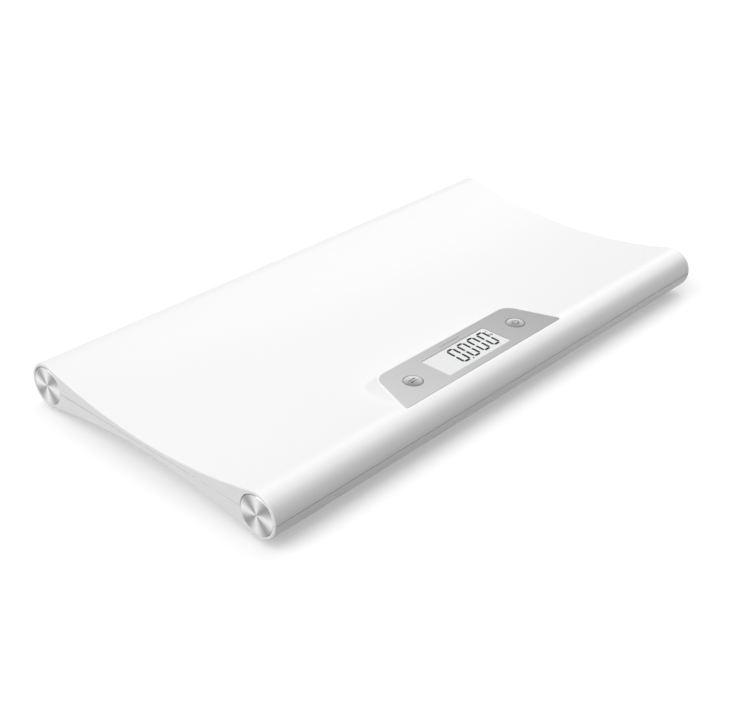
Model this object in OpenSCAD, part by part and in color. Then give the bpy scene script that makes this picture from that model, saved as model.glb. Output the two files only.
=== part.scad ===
// Digital baby weighing scale: a long tray slung between two round tubes,
// with a display pod on the front tube and a load cell over each foot.
// Millimetres. X runs along the tubes, the front is -Y, Z is up.
// The origin is on the floor under the middle of the platform.

/* [Platform] */
// Length of the platform, end face to end face
body_l = 550; // [500:1:620]
// Distance between the axes of the front and the rear tube
tube_pitch = 248; // [236:1:270]
// Outer radius of the front and rear tubes
tube_r = 19.7; // [19.2:0.1:21]
// Height of the tube axes and of the parting line above the floor
tube_z = 24.5; // [23.5:0.1:27]
// Height of the tray's lowest line above the parting line
tray_rise = 3.7; // [3.4:0.1:5]
// Depth of the underside's highest line below the parting line
under_drop = 6; // [5.6:0.1:7]
// Wall of both shells
wall = 2.2; // [1.8:0.1:2.4]
// Thickness of the flat end walls
end_wall = 3; // [2.8:0.1:4]
// Thickness of the stiffening ribs
rib_t = 1.6; // [1:0.1:2.4]
// Distance between the cross ribs
rib_pitch = 70; // [60:1:90]

/* [Seam] */
// Height of the lip that locates the shells in each other
lip_h = 1.5; // [1:0.1:2]
// Height of the shadow groove along the parting line
groove_h = 0.6; // [0.3:0.1:1]
// Depth of the shadow groove
groove_d = 0.6; // [0.3:0.1:0.8]

/* [End discs] */
// Radius of the spun metal disc in each tube end
disc_r = 16.75; // [14:0.05:17]
// Thickness of a disc
disc_t = 1.1; // [0.8:0.1:1.4]
// How far a disc's face stands back from the end face
disc_sink = 0.1; // [0:0.1:0.8]
// Bevel round a disc's face
disc_bevel = 0.6; // [0.3:0.1:0.8]

/* [Display pod] */
// Sideways place of the pod's middle
pod_x = -20; // [-60:1:60]
// Width of the inlay along its front edge
inlay_front_w = 203; // [190:1:215]
// Width that the inlay would have along its rear edge with sharp corners
inlay_rear_w = 168; // [160:1:180]
// Depth of the inlay, front to back
inlay_d = 48; // [46:0.5:52]
// How far the inlay's front edge lies in front of the tube axis
inlay_front = 4; // [3:0.5:5]
// Radius of the inlay's two rear corners
inlay_corner_r = 14; // [8:0.5:18]
// Radius of the inlay's two front corners
inlay_front_r = 2; // [1:0.5:3]
// Thickness of the inlay
inlay_t = 1; // [0.8:0.1:1.2]
// White rim between the inlay and the pod's walls
rim_w = 2.3; // [2:0.1:3]
// How far the pod's walls lean out on their way down to the tray
pod_flare = 6.5; // [4:0.5:8]
// Thickness of the pod's roof under the inlay
roof_t = 2; // [1.6:0.1:2.2]

/* [Display] */
// Width of the display window
window_w = 80.5; // [70:0.5:90]
// Depth of the display window
window_d = 30.5; // [26:0.5:31]
// Distance from the inlay's rear edge to the window
window_back = 10; // [9:0.5:12]
// Thickness of the clear lens
lens_t = 1.2; // [0.8:0.1:1.3]
// How far the lens runs on under the inlay
lens_lap = 3.5; // [2:0.5:5]
// Thickness of the display glass
lcd_t = 2.6; // [2:0.1:2.8]
// Height of the circuit board's top above the parting line
board_rise = 12.5; // [12:0.1:13]
// How far the circuit board runs on past the keys' centres
board_end = 8; // [7:0.5:11]
// Width of the circuit board
board_w = 34; // [33:0.5:36]
// Thickness of the circuit board
board_t = 1.6; // [1:0.1:2]

/* [Keys] */
// Distance of a key's centre from the inlay's front corner, along X
key_inset = 34.5; // [32:0.5:36]
// Radius of a key's cap
key_r = 8.3; // [6:0.1:9]
// Height of a key's crown over the inlay
key_crown = 0.6; // [0.2:0.1:1]
// Travel of a key
key_travel = 0.8; // [0.4:0.1:0.9]
// Width of a key's flange beyond its cap
key_flange = 1.8; // [1.2:0.1:2.5]

/* [Load cells and feet] */
// Distance of the foot centres from the end faces
foot_inset = 26; // [24:1:40]
// How far the load cells and feet stand inside the tube axes
cell_inset = 11; // [8:0.5:12]
// Radius of a foot
foot_r = 12; // [9:0.5:13]
// Radius of a foot's rubber pad
pad_r = 10.5; // [6:0.5:11]
// Thickness of a rubber pad
pad_t = 1.8; // [1.2:0.1:2.5]
// Length of a load cell
cell_l = 70; // [64:1:80]
// Width and height of a load cell
cell_w = 12.7; // [10:0.1:13.5]
// Radius of the two bores that make a load cell's window
cell_bore_r = 4.6; // [3:0.1:4.8]
// Thickness of the spacer over a load cell's fixed end
spacer_t = 2; // [1:0.1:3]

/* [Battery bay] */
// Distance of the bay's middle behind the front tube's axis
bay_inset = 29; // [28:1:34]
// Radius of a battery cell
battery_r = 5.25; // [5:0.05:5.4]
// Length of a battery cell
battery_l = 44.5; // [40:0.5:50]
// Width of the door across its hinge line
door_w = 45; // [44:0.5:47]
// Room along the batteries for their contacts
contact_room = 4; // [3.5:0.1:6]

/* [Fits] */
// Gap round a trim piece that is glued or clipped in
trim_gap = 0.15; // [0.05:0.05:0.25]
// Gap round a key or the battery door
move_gap = 0.3; // [0.2:0.05:0.4]
// Gap round a foot in its opening
foot_gap = 1; // [0.5:0.1:1.5]

/* [Hidden] */

// Overlap that lets a cut run clean through a face
cut = 1;
// Fineness of small, of tube-sized and of tray-sized round shapes
fine = 48;
fine_tube = 96;
fine_arc = 720;

tube_y = tube_pitch / 2;
half_w = tube_y + tube_r;
half_l = body_l / 2;
LEFT = -1;
RIGHT = 1;
FRONT = -1;
REAR = 1;

// The tray and the underside are arcs that touch both tubes from outside, at
// a given height above (or below) the parting line on the centre line.
function arc_r(rise) = (tube_y * tube_y + rise * rise - tube_r * tube_r) / (2 * (tube_r - rise));
tray_r = arc_r(tray_rise);
under_r = arc_r(under_drop);
// Where such an arc touches the tube, for a skin that lies inset inside the surface
function touch_y(arc, inset) = tube_y * (arc + inset) / (arc + tube_r);
function touch_z(arc, rise, inset) = (tube_r - inset) * (arc + rise) / (arc + tube_r);

// Seam lip
lip_out = wall / 2;
lip_in = wall;

// Pod
pod_top = tube_z + tube_r - 0.1;
inlay_front_y = -tube_y - inlay_front;
inlay_rear_y = inlay_front_y + inlay_d;
side_slope = (inlay_front_w - inlay_rear_w) / 2 / inlay_d;
side_stretch = sqrt(1 + side_slope * side_slope);
inlay_floor = pod_top - inlay_t;
roof_under = inlay_floor - roof_t;
pod_base = tube_z + 8.5;
hollow_flare = pod_flare - 1;
hollow_base = pod_base - 1.5;

// Display stack, from the lens down to the board
window_y = inlay_rear_y - window_back - window_d / 2;
lens_floor = inlay_floor - lens_t;
lens_seat = lens_lap + trim_gap;
lcd_top = lens_floor - 0.1;
lcd_under = lcd_top - lcd_t;
board_top = tube_z + board_rise;
board_under = board_top - board_t;
board_y = window_y + 1;
key_x = inlay_front_w / 2 - key_inset;
board_l = 2 * (key_x + board_end);
board_screw_x = key_x - 15;
board_screw_y = board_w / 2 - 3.5;
board_screw_r = 1;
board_screw_l = 3;
board_screw_head_r = 1.9;
board_screw_head_h = 1.2;
board_boss_r = 2.6;
board_notch_r = 3;
frame_wall = 1.6;
frame_gap = 0.3;

// Chips under the board: a drop of black resin and two flat packages
drop_r = 14;
drop_h = 2;
driver_l = 10;
driver_w = 4;
driver_h = 1.6;
memory_l = 8;
memory_w = 3.4;
memory_h = 2.4;

// Keys
key_y = window_y + 0.5;
flange_r = key_r + key_flange;
flange_t = 1.1;
flange_top = roof_under - 0.05;
flange_under = flange_top - flange_t;
switch_h = 2;
switch_w = 6;
plunger_r = 1.7;
plunger_gap = 0.1;
plunger_rest = 0.3;

// Load cells and feet
foot_x = half_l - foot_inset;
cell_end = 8;
cell_x = foot_x + cell_end - cell_l / 2;
cell_y = tube_y - cell_inset;
cell_z = tube_z + 2;
cell_under = cell_z - cell_w / 2;
cell_top = cell_z + cell_w / 2;
cell_bolt_xs = [6, 18];
cell_bolt_r = 2;
cell_block_l = 24;
stud_r = 2.4;
cell_window = 6;
cell_slot_h = 3;
gauge_l = 16;
gauge_t = 0.8;
bolt_head_r = 3.4;
bolt_head_h = 2.4;
foot_top = 12;
foot_under = 0.9;
foot_edge = 0.6;
neck_r = 5.5;
stud_end = foot_top - 5;

// Shell screws: x places along the front and along the rear tube
screw_clear = 22;
screw_end_x = cell_x - cell_l / 2 - screw_clear;
screw_pod_x = inlay_front_w / 2 - 9.5;
front_screw_xs = [-screw_end_x, pod_x - screw_pod_x, pod_x + screw_pod_x, screw_end_x];
rear_screw_xs = [-screw_end_x, -screw_end_x / 3, screw_end_x / 3, screw_end_x];
screw_r = 1.5;
screw_head_r = 2.8;
screw_head_h = 2;
screw_seat_z = 15;
screw_tip_z = 31;
boss_r = 4.2;

// Ribs in the waist
rib_clear = 26;
rib_reach = tube_y - rib_clear;
rib_xs = [for (i = [-3 : 3]) i * rib_pitch];
rib_ys = [-80, -32, 32, 80];
upper_rib_ys = [-64, -21, 21, 64, 96];

// Battery bay, laid out in a frame that sits on the underside at the bay's middle
bay_y = tube_y - bay_inset;
bay_tilt = asin(-bay_y / under_r);
bay_l = battery_l + contact_room;
battery_pitch = 2 * battery_r + 0.4;
bay_half_w = 2 * battery_pitch + 0.3;
bay_h = 2 * battery_r + 0.8;
bay_wall = 1.5;
battery_z = wall + 0.4 + battery_r;
door_l = bay_l + 7;
door_barrel_r = 1.3;
door_pin_r = 0.7;
door_pin_l = 1.8;
pin_reach = door_l / 2 + door_pin_l;
pivot_s = -door_w / 2 + door_barrel_r + move_gap;
lug_l = 3.2;
lug_w = 5;
lug_lap = 0.2;
door_rib_t = 1;
door_rib_h = 1.3;
scoop_r = 14;
scoop_h = 1.4;
latch_w = 12;
latch_l = 10;
latch_slot = 0.8;
contact_t = 0.4;
tail_top = wall + bay_h + bay_wall + 2.5;
lead_r = 0.7;

// Cables
cable_r = 1.1;
cross_z = tube_z - under_drop / 2 + 1;
cross_x = 1.5 * rib_pitch;
cable_run = 12;
cable_y = cell_y - cable_run;
cable_z = cell_z + 3;
cable_turn = 12;
plug_rise = 5;
socket_x = board_l / 2 - 7;
socket_y = 6.5;
socket_h = 4.5;
socket_z = board_under - socket_h;

// ---------------------------------------------------------------- helpers

// Lays a (y, z) outline along X, centred
module along_x(l) rotate([90, 0, 90]) linear_extrude(height = l, center = true) children();

// A round bar along X from x0 to x1
module bar_x(x0, x1, r) translate([x0, 0, 0]) rotate([0, 90, 0]) cylinder(h = x1 - x0, r = r, $fn = fine);

// A block centred in X and Y that stands on z0 and ends at z1
module slab(l, w, z0, z1) translate([-l / 2, -w / 2, z0]) cube([l, w, z1 - z0]);

// The half of the platform's cross section above the parting line, its skin
// moved in by inset, and carried on below the line by extra
module half_section(arc, rise, inset, extra) {
  intersection() {
    union() {
      for (side = [-1, 1]) translate([side * tube_y, 0]) circle(r = tube_r - inset, $fn = fine_tube);
      difference() {
        translate([-touch_y(arc, inset), -2 * cut])
          square([2 * touch_y(arc, inset), 2 * cut + touch_z(arc, rise, inset)]);
        translate([0, rise + arc]) circle(r = arc + inset, $fn = fine_arc);
      }
    }
    translate([-tube_pitch, -extra]) square([2 * tube_pitch, 2 * tube_r]);
  }
}

// Puts children, drawn above the parting line, in the upper or lower half
module in_upper() translate([0, 0, tube_z]) children();
module in_lower() translate([0, 0, tube_z]) mirror([0, 0, 1]) children();

// A frame round the platform's plan, between two distances from its edge
module plan_frame(outer, inner, z0, z1) {
  difference() {
    slab(body_l - 2 * outer, 2 * (half_w - outer), z0, z1);
    slab(body_l - 2 * inner, 2 * (half_w - inner), z0 - cut, z1 + cut);
  }
}

// Both seats of the discs in the shells' end walls
module disc_seats() {
  for (side = [LEFT, RIGHT], end = [FRONT, REAR]) at_tube(side, end) translate([0, 0, tube_z]) {
    bar_x(half_l - disc_sink - disc_t, half_l + cut, disc_r + trim_gap);
    bar_x(half_l - end_wall - cut, half_l, disc_r / 4 + trim_gap);
  }
}

// Frame on the underside at the bay's middle: local Z points into the platform
module at_bay() translate([pod_x, 0, tube_z - under_drop - under_r])
  rotate([-bay_tilt, 0, 0]) translate([0, 0, under_r]) children();

// A place in the bay's frame, s along the underside's arc and h above its skin
function bay_point(s, h) = let (a = s / under_r * 180 / PI)
  [(under_r + h) * sin(a), (under_r + h) * cos(a) - under_r];

// Curved plate in the bay's frame, between two heights over the underside's skin
module bay_plate(l, half_width, h0, h1) {
  along_x(l) intersection() {
    translate([-half_width, -5]) square([2 * half_width, 10]);
    difference() {
      translate([0, -under_r]) circle(r = under_r + h1, $fn = fine_arc);
      translate([0, -under_r]) circle(r = under_r + h0, $fn = fine_arc);
    }
  }
}

// A cable along a route: each corner is eased over the distance ease, and a
// ring of eight points stands square to the way at every step
function unit(v) = v / norm(v);
function eased(points, ease) = [
  points[0],
  for (i = [1 : len(points) - 2]) let (
    p = points[i],
    a = p + ease * unit(points[i - 1] - p),
    b = p + ease * unit(points[i + 1] - p)
  ) each [a, (a + 2 * p + b) / 4, b],
  points[len(points) - 1]
];
module cable(points, r) {
  sides = 8;
  way = eased(points, 3 * r);
  last = len(way) - 1;
  steady = [0.31, 0.53, 0.79];
  function ring(i) = let (
    t = unit(way[min(i + 1, last)] - way[max(i - 1, 0)]),
    u = unit(cross(t, steady)),
    v = cross(t, u)
  ) [for (k = [0 : sides - 1]) way[i] + r * (u * cos(k * 360 / sides) + v * sin(k * 360 / sides))];
  polyhedron(
    points = [for (i = [0 : last]) each ring(i)],
    faces = [
      [for (k = [0 : sides - 1]) k],
      for (i = [0 : last - 1], k = [0 : sides - 1]) let (n = (k + 1) % sides, a = i * sides, b = a + sides)
        each [[a + k, b + n, a + n], [a + k, b + k, b + n]],
      [for (k = [sides - 1 : -1 : 0]) last * sides + k]
    ]
  );
}

// ---------------------------------------------------------------- pod

// The inlay's half width at a place y, moved out by grow
function side_x(y, grow) = inlay_front_w / 2 - side_slope * (y - inlay_front_y) + grow * side_stretch;

// Outline of the inlay moved out by grow at its sides and rear: a trapezoid
// with its corners rounded, front_y being its front edge
module pod_outline(grow, front_y) {
  corner_y = inlay_rear_y - inlay_corner_r;
  corner_x = side_x(corner_y, -inlay_corner_r);
  r = inlay_corner_r + grow;
  rear_y = corner_y + r;
  side_y = corner_y + r * side_slope / side_stretch;
  toe_y = front_y + inlay_front_r;
  toe_x = side_x(toe_y, grow - inlay_front_r);
  toe_side_y = toe_y + inlay_front_r * side_slope / side_stretch;
  translate([pod_x, 0]) {
    polygon([
      [-toe_x, front_y], [toe_x, front_y], [side_x(toe_side_y, grow), toe_side_y],
      [side_x(side_y, grow), side_y], [corner_x, rear_y],
      [-corner_x, rear_y], [-side_x(side_y, grow), side_y], [-side_x(toe_side_y, grow), toe_side_y]
    ]);
    for (side = [-1, 1]) {
      translate([side * corner_x, corner_y]) circle(r = r, $fn = fine);
      translate([side * toe_x, toe_y]) circle(r = inlay_front_r, $fn = fine);
    }
  }
}

// Block whose walls lean out by flare from its top down to its base
module pod_form(grow, flare, top, base, front_y) {
  slice = 0.01;
  hull() {
    translate([0, 0, top - slice]) linear_extrude(height = slice) pod_outline(grow, front_y);
    translate([0, 0, base]) linear_extrude(height = slice) pod_outline(grow + flare, front_y);
  }
}

// Puts children at both keys, or at one
module at_key(side) translate([pod_x + side * key_x, key_y, 0]) children();
module at_window() translate([pod_x, window_y, 0]) children();

// Puts children at the board's four screws
module at_board_screws() {
  for (side = [-1, 1], end = [-1, 1])
    translate([pod_x + side * board_screw_x, board_y + end * board_screw_y, 0]) children();
}

// Puts children at every shell screw
module at_shell_screws() {
  for (x = front_screw_xs) translate([x, -tube_y, 0]) children();
  for (x = rear_screw_xs) translate([x, tube_y, 0]) children();
}

// Puts children at a tube's end or on a load cell's line, drawn for the right end
module at_tube(side, end) translate([0, end * tube_y, 0]) mirror([side == LEFT ? 1 : 0, 0, 0]) children();
module at_cell(side, end) translate([0, end * cell_y, 0]) mirror([side == LEFT ? 1 : 0, 0, 0]) children();
module at_cells() for (side = [LEFT, RIGHT], end = [FRONT, REAR]) at_cell(side, end) children();

// ---------------------------------------------------------------- shells

// Ribs along and across under the tray, behind the pod
module upper_ribs() {
  front = upper_rib_ys[0];
  rear = upper_rib_ys[len(upper_rib_ys) - 1];
  for (x = rib_xs) translate([x - rib_t / 2, front, tube_z + 0.2]) cube([rib_t, rear - front, tube_r]);
  for (y = upper_rib_ys) translate([-half_l, y - rib_t / 2, tube_z + 0.2]) cube([body_l, rib_t, tube_r]);
}

module upper_shell() color("white") {
  difference() {
    union() {
      difference() {
        union() {
          in_upper() along_x(body_l) half_section(tray_r, tray_rise, 0, 0);
          pod_form(rim_w, pod_flare, pod_top, pod_base, -tube_y);
        }
        in_upper() along_x(body_l - 2 * end_wall) half_section(tray_r, tray_rise, wall, cut);
        pod_form(rim_w - wall, hollow_flare, roof_under, hollow_base, -tube_y);
        translate([0, 0, tube_z - cut]) linear_extrude(height = hollow_base - tube_z + cut + 0.1)
          pod_outline(rim_w - wall + hollow_flare, -tube_y);
      }
      intersection() {
        in_upper() along_x(body_l - end_wall) half_section(tray_r, tray_rise, wall / 2, 0);
        union() {
          upper_ribs();
          at_shell_screws() cylinder(h = 2 * tube_z, r = boss_r - 0.7, $fn = fine);
          at_cells() translate([cell_x - cell_l / 2 + cell_block_l / 2, 0, 0])
            slab(cell_block_l, cell_w + 3, cell_top + spacer_t, 2 * tube_z);
        }
      }
      at_board_screws() translate([0, 0, board_top])
        cylinder(h = roof_under - board_top + 0.5, r = board_boss_r, $fn = fine);
    }
    translate([0, 0, inlay_floor]) linear_extrude(height = 2 * tube_r)
      pod_outline(trim_gap, inlay_front_y - trim_gap);
    at_window() {
      slab(window_w + 2 * lens_seat, window_d + 2 * lens_seat, lens_floor, pod_top);
      slab(window_w + 2 * frame_gap, window_d + 2 * frame_gap, roof_under - cut, pod_top);
    }
    for (side = [-1, 1]) at_key(side) translate([0, 0, roof_under - cut])
      cylinder(h = 2 * tube_r, r = key_r + move_gap, $fn = fine);
    at_board_screws() translate([0, 0, board_top - cut])
      cylinder(h = board_screw_l + cut, r = board_screw_r, $fn = fine);
    at_shell_screws() translate([0, 0, tube_z - cut])
      cylinder(h = screw_tip_z - tube_z + 2, r = screw_r, $fn = fine);
    at_cells() for (d = cell_bolt_xs) translate([cell_x - cell_l / 2 + d, 0, cell_top])
      cylinder(h = spacer_t + 5, r = cell_bolt_r, $fn = fine);
    plan_frame(lip_out - trim_gap, lip_in + trim_gap, tube_z - cut, tube_z + lip_h + trim_gap);
    plan_frame(-cut, groove_d, tube_z - cut, tube_z + groove_h / 2);
    disc_seats();
  }
}

module lower_ribs() {
  difference() {
    union() {
      for (x = rib_xs) translate([x - rib_t / 2, -rib_reach, 0]) cube([rib_t, 2 * rib_reach, tube_z]);
      for (y = rib_ys) translate([-half_l, y - rib_t / 2, 0]) cube([body_l, rib_t, tube_z]);
    }
    at_bay() slab(door_l + 10, door_w + 12, -10, tube_r);
    for (side = [-1, 1]) translate([side * cross_x, -rib_reach, cross_z - 2 * cable_r])
      slab(4 * cable_r, 4 * rib_reach, 0, tube_z);
  }
}

// Pocket for the batteries, open to below
module bay_pocket(grow, h0, h1) slab(bay_l + 2 * grow, 2 * (bay_half_w + grow), h0, h1);

// Lugs beside the door's ends, which hold its pins
module door_lugs() {
  p = bay_point(pivot_s, door_barrel_r);
  for (side = [-1, 1]) translate([side * (door_l / 2 + move_gap + lug_l / 2), p[0], 0])
    slab(lug_l, lug_w, p[1] - door_barrel_r + lug_lap, p[1] + 2 * door_barrel_r);
}

module lower_shell() color("whitesmoke") {
  p = bay_point(pivot_s, door_barrel_r);
  difference() {
    union() {
      difference() {
        in_lower() along_x(body_l) half_section(under_r, under_drop, 0, 0);
        in_lower() along_x(body_l - 2 * end_wall) half_section(under_r, under_drop, wall, cut);
      }
      intersection() {
        in_lower() along_x(body_l - end_wall) half_section(under_r, under_drop, wall / 2, 0);
        union() {
          lower_ribs();
          at_shell_screws() cylinder(h = tube_z, r = boss_r, $fn = fine);
        }
      }
      plan_frame(lip_out, lip_in, tube_z - cut, tube_z + lip_h);
      at_bay() {
        bay_pocket(bay_wall, wall / 2, wall + bay_h + bay_wall);
        door_lugs();
      }
    }
    at_bay() {
      bay_pocket(0, -cut, wall + bay_h);
      slab(door_l + 2 * move_gap, door_w + 2 * move_gap, -5, wall);
      translate([0, p[0], p[1]]) bar_x(-pin_reach - 2 * move_gap, pin_reach + 2 * move_gap, door_pin_r + 0.1);
      translate([0, door_w / 2 + 4, scoop_h - scoop_r]) sphere(r = scoop_r, $fn = fine_tube);
      for (side = [-1, 1]) translate([side * (bay_l / 2 - contact_t), -side * 1.5 * battery_pitch, 0])
        slab(2, 3, wall + bay_h - cut, wall + bay_h + 2 * bay_wall);
    }
    at_shell_screws() {
      translate([0, 0, -cut]) cylinder(h = screw_seat_z + cut, r = screw_head_r + move_gap, $fn = fine);
      cylinder(h = tube_z + cut, r = screw_r + trim_gap, $fn = fine);
    }
    at_cells() translate([foot_x, 0, -cut]) cylinder(h = tube_z, r = foot_r + foot_gap, $fn = fine);
    plan_frame(-cut, groove_d, tube_z - groove_h / 2, tube_z + cut);
    disc_seats();
  }
}

// ---------------------------------------------------------------- end discs

// Spun disc with a turned edge and a spigot that locates it in the end wall
module end_disc(side, end) color([0.78, 0.79, 0.8]) {
  face = half_l - disc_sink;
  spigot = disc_t + end_wall - disc_sink;
  translate([0, 0, tube_z]) at_tube(side, end) translate([face, 0, 0]) rotate([0, -90, 0])
    rotate_extrude($fn = fine_tube) polygon([
      [0, 0], [disc_r - disc_bevel, 0], [disc_r, disc_bevel], [disc_r, disc_t],
      [disc_r / 4, disc_t], [disc_r / 4, spigot], [0, spigot]
    ]);
}

// ---------------------------------------------------------------- display

module display_inlay() color([0.72, 0.73, 0.75]) difference() {
  translate([0, 0, inlay_floor]) linear_extrude(height = inlay_t) pod_outline(0, inlay_front_y);
  at_window() slab(window_w, window_d, 0, 2 * pod_top);
  for (side = [-1, 1]) at_key(side) cylinder(h = 2 * pod_top, r = key_r + move_gap, $fn = fine);
}

module display_lens() color([0.9, 0.95, 1, 0.35])
  at_window() slab(window_w + 2 * lens_lap, window_d + 2 * lens_lap, lens_floor, inlay_floor);

module display_glass() color([0.85, 0.88, 0.85]) at_window() difference() {
  slab(window_w, window_d, lcd_under, lcd_top);
  for (end = [-1, 1]) translate([0, end * window_d / 2, 0])
    slab(window_w + cut, 3, lcd_top - lcd_t / 4, lcd_top + cut);
}

module display_reflector() color("white") at_window()
  slab(window_w - 2, window_d - 7, lcd_under - 1, lcd_under);

// Conducting strips that join the display glass to the board
module contact_strips() color([0.85, 0.5, 0.6])
  for (end = [-1, 1]) at_window() translate([0, end * (window_d / 2 - 1.5), 0])
    slab(window_w - 6, 1.8, board_top, lcd_under);

module display_frame() color("ivory") at_window() difference() {
  slab(window_w + 2 * (frame_gap + frame_wall), window_d + 2 * (frame_gap + frame_wall),
    board_top, roof_under - 0.1);
  slab(window_w + 2 * frame_gap, window_d + 2 * frame_gap, 0, 2 * pod_top);
}

module circuit_board() color("darkgreen") difference() {
  translate([pod_x, board_y, 0]) slab(board_l, board_w, board_under, board_top);
  at_board_screws() cylinder(h = 2 * pod_top, r = board_screw_r + 0.2, $fn = fine);
  for (side = [-1, 1]) translate([pod_x + side * board_l / 2, board_y, 0])
    cylinder(h = 2 * pod_top, r = board_notch_r, $fn = fine);
}

module board_chips() color([0.1, 0.1, 0.1]) {
  translate([pod_x, board_y, board_under]) intersection() {
    translate([0, 0, drop_r - drop_h]) sphere(r = drop_r, $fn = fine);
    translate([0, 0, -drop_h]) cylinder(h = drop_h, r = drop_r, $fn = fine);
  }
  translate([pod_x + board_l / 6, board_y + board_w / 5, 0])
    slab(driver_l, driver_w, board_under - driver_h, board_under);
  translate([pod_x - board_l / 5, board_y + board_w / 5, 0])
    slab(memory_l, memory_w, board_under - memory_h, board_under);
}

// Two sockets under each end of the board, one for each load cell
module cable_sockets() color("ivory") for (side = [-1, 1], row = [-1, 1])
  translate([pod_x + side * socket_x, board_y + row * socket_y, 0]) slab(6, 8, socket_z, board_under);

module board_screws() color("silver") at_board_screws() {
  translate([0, 0, board_under - board_screw_head_h])
    cylinder(h = board_screw_head_h, r = board_screw_head_r, $fn = fine);
  translate([0, 0, board_under]) cylinder(h = board_t + board_screw_l, r = board_screw_r, $fn = fine);
}

// ---------------------------------------------------------------- keys

// Round key: a crowned cap that stands through the inlay on a wider flange
module key_piece(side) color([0.8, 0.81, 0.82]) at_key(side) {
  crown_r = (key_r * key_r + key_crown * key_crown) / (2 * key_crown);
  translate([0, 0, flange_under]) cylinder(h = flange_t, r = flange_r, $fn = fine);
  intersection() {
    translate([0, 0, flange_under]) cylinder(h = 2 * tube_r, r = key_r, $fn = fine);
    translate([0, 0, pod_top + key_crown - crown_r]) sphere(r = crown_r, $fn = fine_tube * 2);
  }
}

module key_plunger(side) color([0.1, 0.1, 0.1]) at_key(side)
  translate([0, 0, board_top + key_travel + plunger_rest])
    cylinder(h = flange_under - board_top - key_travel - plunger_rest, r = plunger_r, $fn = fine);

module key_switch(side) color([0.3, 0.3, 0.32]) at_key(side) difference() {
  slab(switch_w, switch_w, board_top, board_top + switch_h);
  translate([0, 0, board_top + 0.2]) cylinder(h = switch_h, r = plunger_r + plunger_gap, $fn = fine);
}

// ---------------------------------------------------------------- battery bay

module battery_door() color("whitesmoke") {
  p = bay_point(pivot_s, door_barrel_r);
  latch_y = door_w / 2 - latch_l;
  at_bay() {
    difference() {
      union() {
        intersection() {
          bay_plate(door_l, door_w / 2, 0, wall - 0.1);
          translate([-door_l, p[0], -door_w / 2]) cube([2 * door_l, door_w, door_w]);
        }
        translate([0, p[0], p[1]]) bar_x(-door_l / 2, door_l / 2, door_barrel_r);
      }
      for (side = [-1, 1]) translate([side * latch_w / 2, latch_y + latch_l / 2, 0])
        slab(latch_slot, latch_l, -5, 5);
    }
    translate([0, p[0], p[1]]) bar_x(-pin_reach, pin_reach, door_pin_r);
    for (i = [-1 : 1]) translate([0, i * battery_pitch, 0])
      slab(bay_l - 2 * contact_room, door_rib_t, wall / 2, wall - 0.1 + door_rib_h);
  }
}

// Cells lie side by side and point alternately left and right
module battery_cell(i) color([0.25, 0.27, 0.3]) {
  turn = i % 2 == 0 ? 1 : -1;
  nub_r = 1.9;
  nub_l = 1;
  bevel = 0.5;
  at_bay() translate([turn * (bay_l / 2 - contact_t), (i - 1.5) * battery_pitch, battery_z])
    rotate([0, -90 * turn, 0]) rotate_extrude($fn = fine) polygon([
      [0, 0], [nub_r, 0], [nub_r, nub_l], [battery_r - bevel, nub_l], [battery_r, nub_l + bevel],
      [battery_r, battery_l - bevel], [battery_r - bevel, battery_l], [0, battery_l]
    ]);
}

// A flat plate at each cell's nub and a bent leaf at its other end, with
// solder tails on the two outer terminals
module battery_contacts() color("silver") at_bay() {
  plate = 8;
  leaf = contact_room - 2 * contact_t;
  for (i = [0 : 3]) {
    turn = i % 2 == 0 ? 1 : -1;
    translate([turn * (bay_l / 2 - contact_t / 2), (i - 1.5) * battery_pitch, battery_z])
      slab(contact_t, plate, -plate / 2, plate / 2);
    translate([-turn * (bay_l / 2), (i - 1.5) * battery_pitch, battery_z]) mirror([turn < 0 ? 1 : 0, 0, 0])
      rotate([90, 0, 0]) linear_extrude(height = plate / 2, center = true) polygon([
        [0, -plate / 2], [contact_t, -plate / 2], [contact_t, plate / 4], [leaf - contact_t, 0],
        [leaf - contact_t, -plate / 4], [leaf, -plate / 4], [leaf, contact_t],
        [contact_t, plate / 2], [0, plate / 2]
      ]);
  }
  for (side = [-1, 1]) translate([side * (bay_l / 2 - contact_t / 2), -side * 1.5 * battery_pitch, 0])
    slab(contact_t, 2, battery_z, tail_top);
}

module battery_leads() color("crimson") for (side = [-1, 1]) {
  y = -side * 1.5 * battery_pitch;
  h = under_r + tail_top + lead_r * abs(sin(bay_tilt));
  lead_y = h * sin(bay_tilt) + y * cos(bay_tilt);
  lead_z = tube_z - under_drop - under_r + h * cos(bay_tilt) - y * sin(bay_tilt);
  translate([pod_x + side * (bay_l / 2 - contact_t / 2), lead_y, lead_z])
    cylinder(h = board_under - lead_z, r = lead_r, $fn = fine);
}

// ---------------------------------------------------------------- load cells

module load_cell(side, end) color([0.75, 0.76, 0.78]) at_cell(side, end) difference() {
  translate([cell_x, 0, 0]) slab(cell_l, cell_w, cell_under, cell_top);
  for (d = [-cell_window, cell_window]) translate([cell_x + d, 0, cell_z]) rotate([90, 0, 0])
    cylinder(h = 2 * cell_w, r = cell_bore_r, center = true, $fn = fine);
  translate([cell_x, 0, 0])
    slab(2 * cell_window, 2 * cell_w, cell_z - cell_slot_h / 2, cell_z + cell_slot_h / 2);
  for (d = cell_bolt_xs) translate([cell_x - cell_l / 2 + d, 0, cell_under - cut])
    cylinder(h = 2 * cell_w, r = cell_bolt_r + 0.1, $fn = fine);
  translate([foot_x, 0, cell_under - cut]) cylinder(h = 2 * cell_w, r = stud_r, $fn = fine);
}

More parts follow.
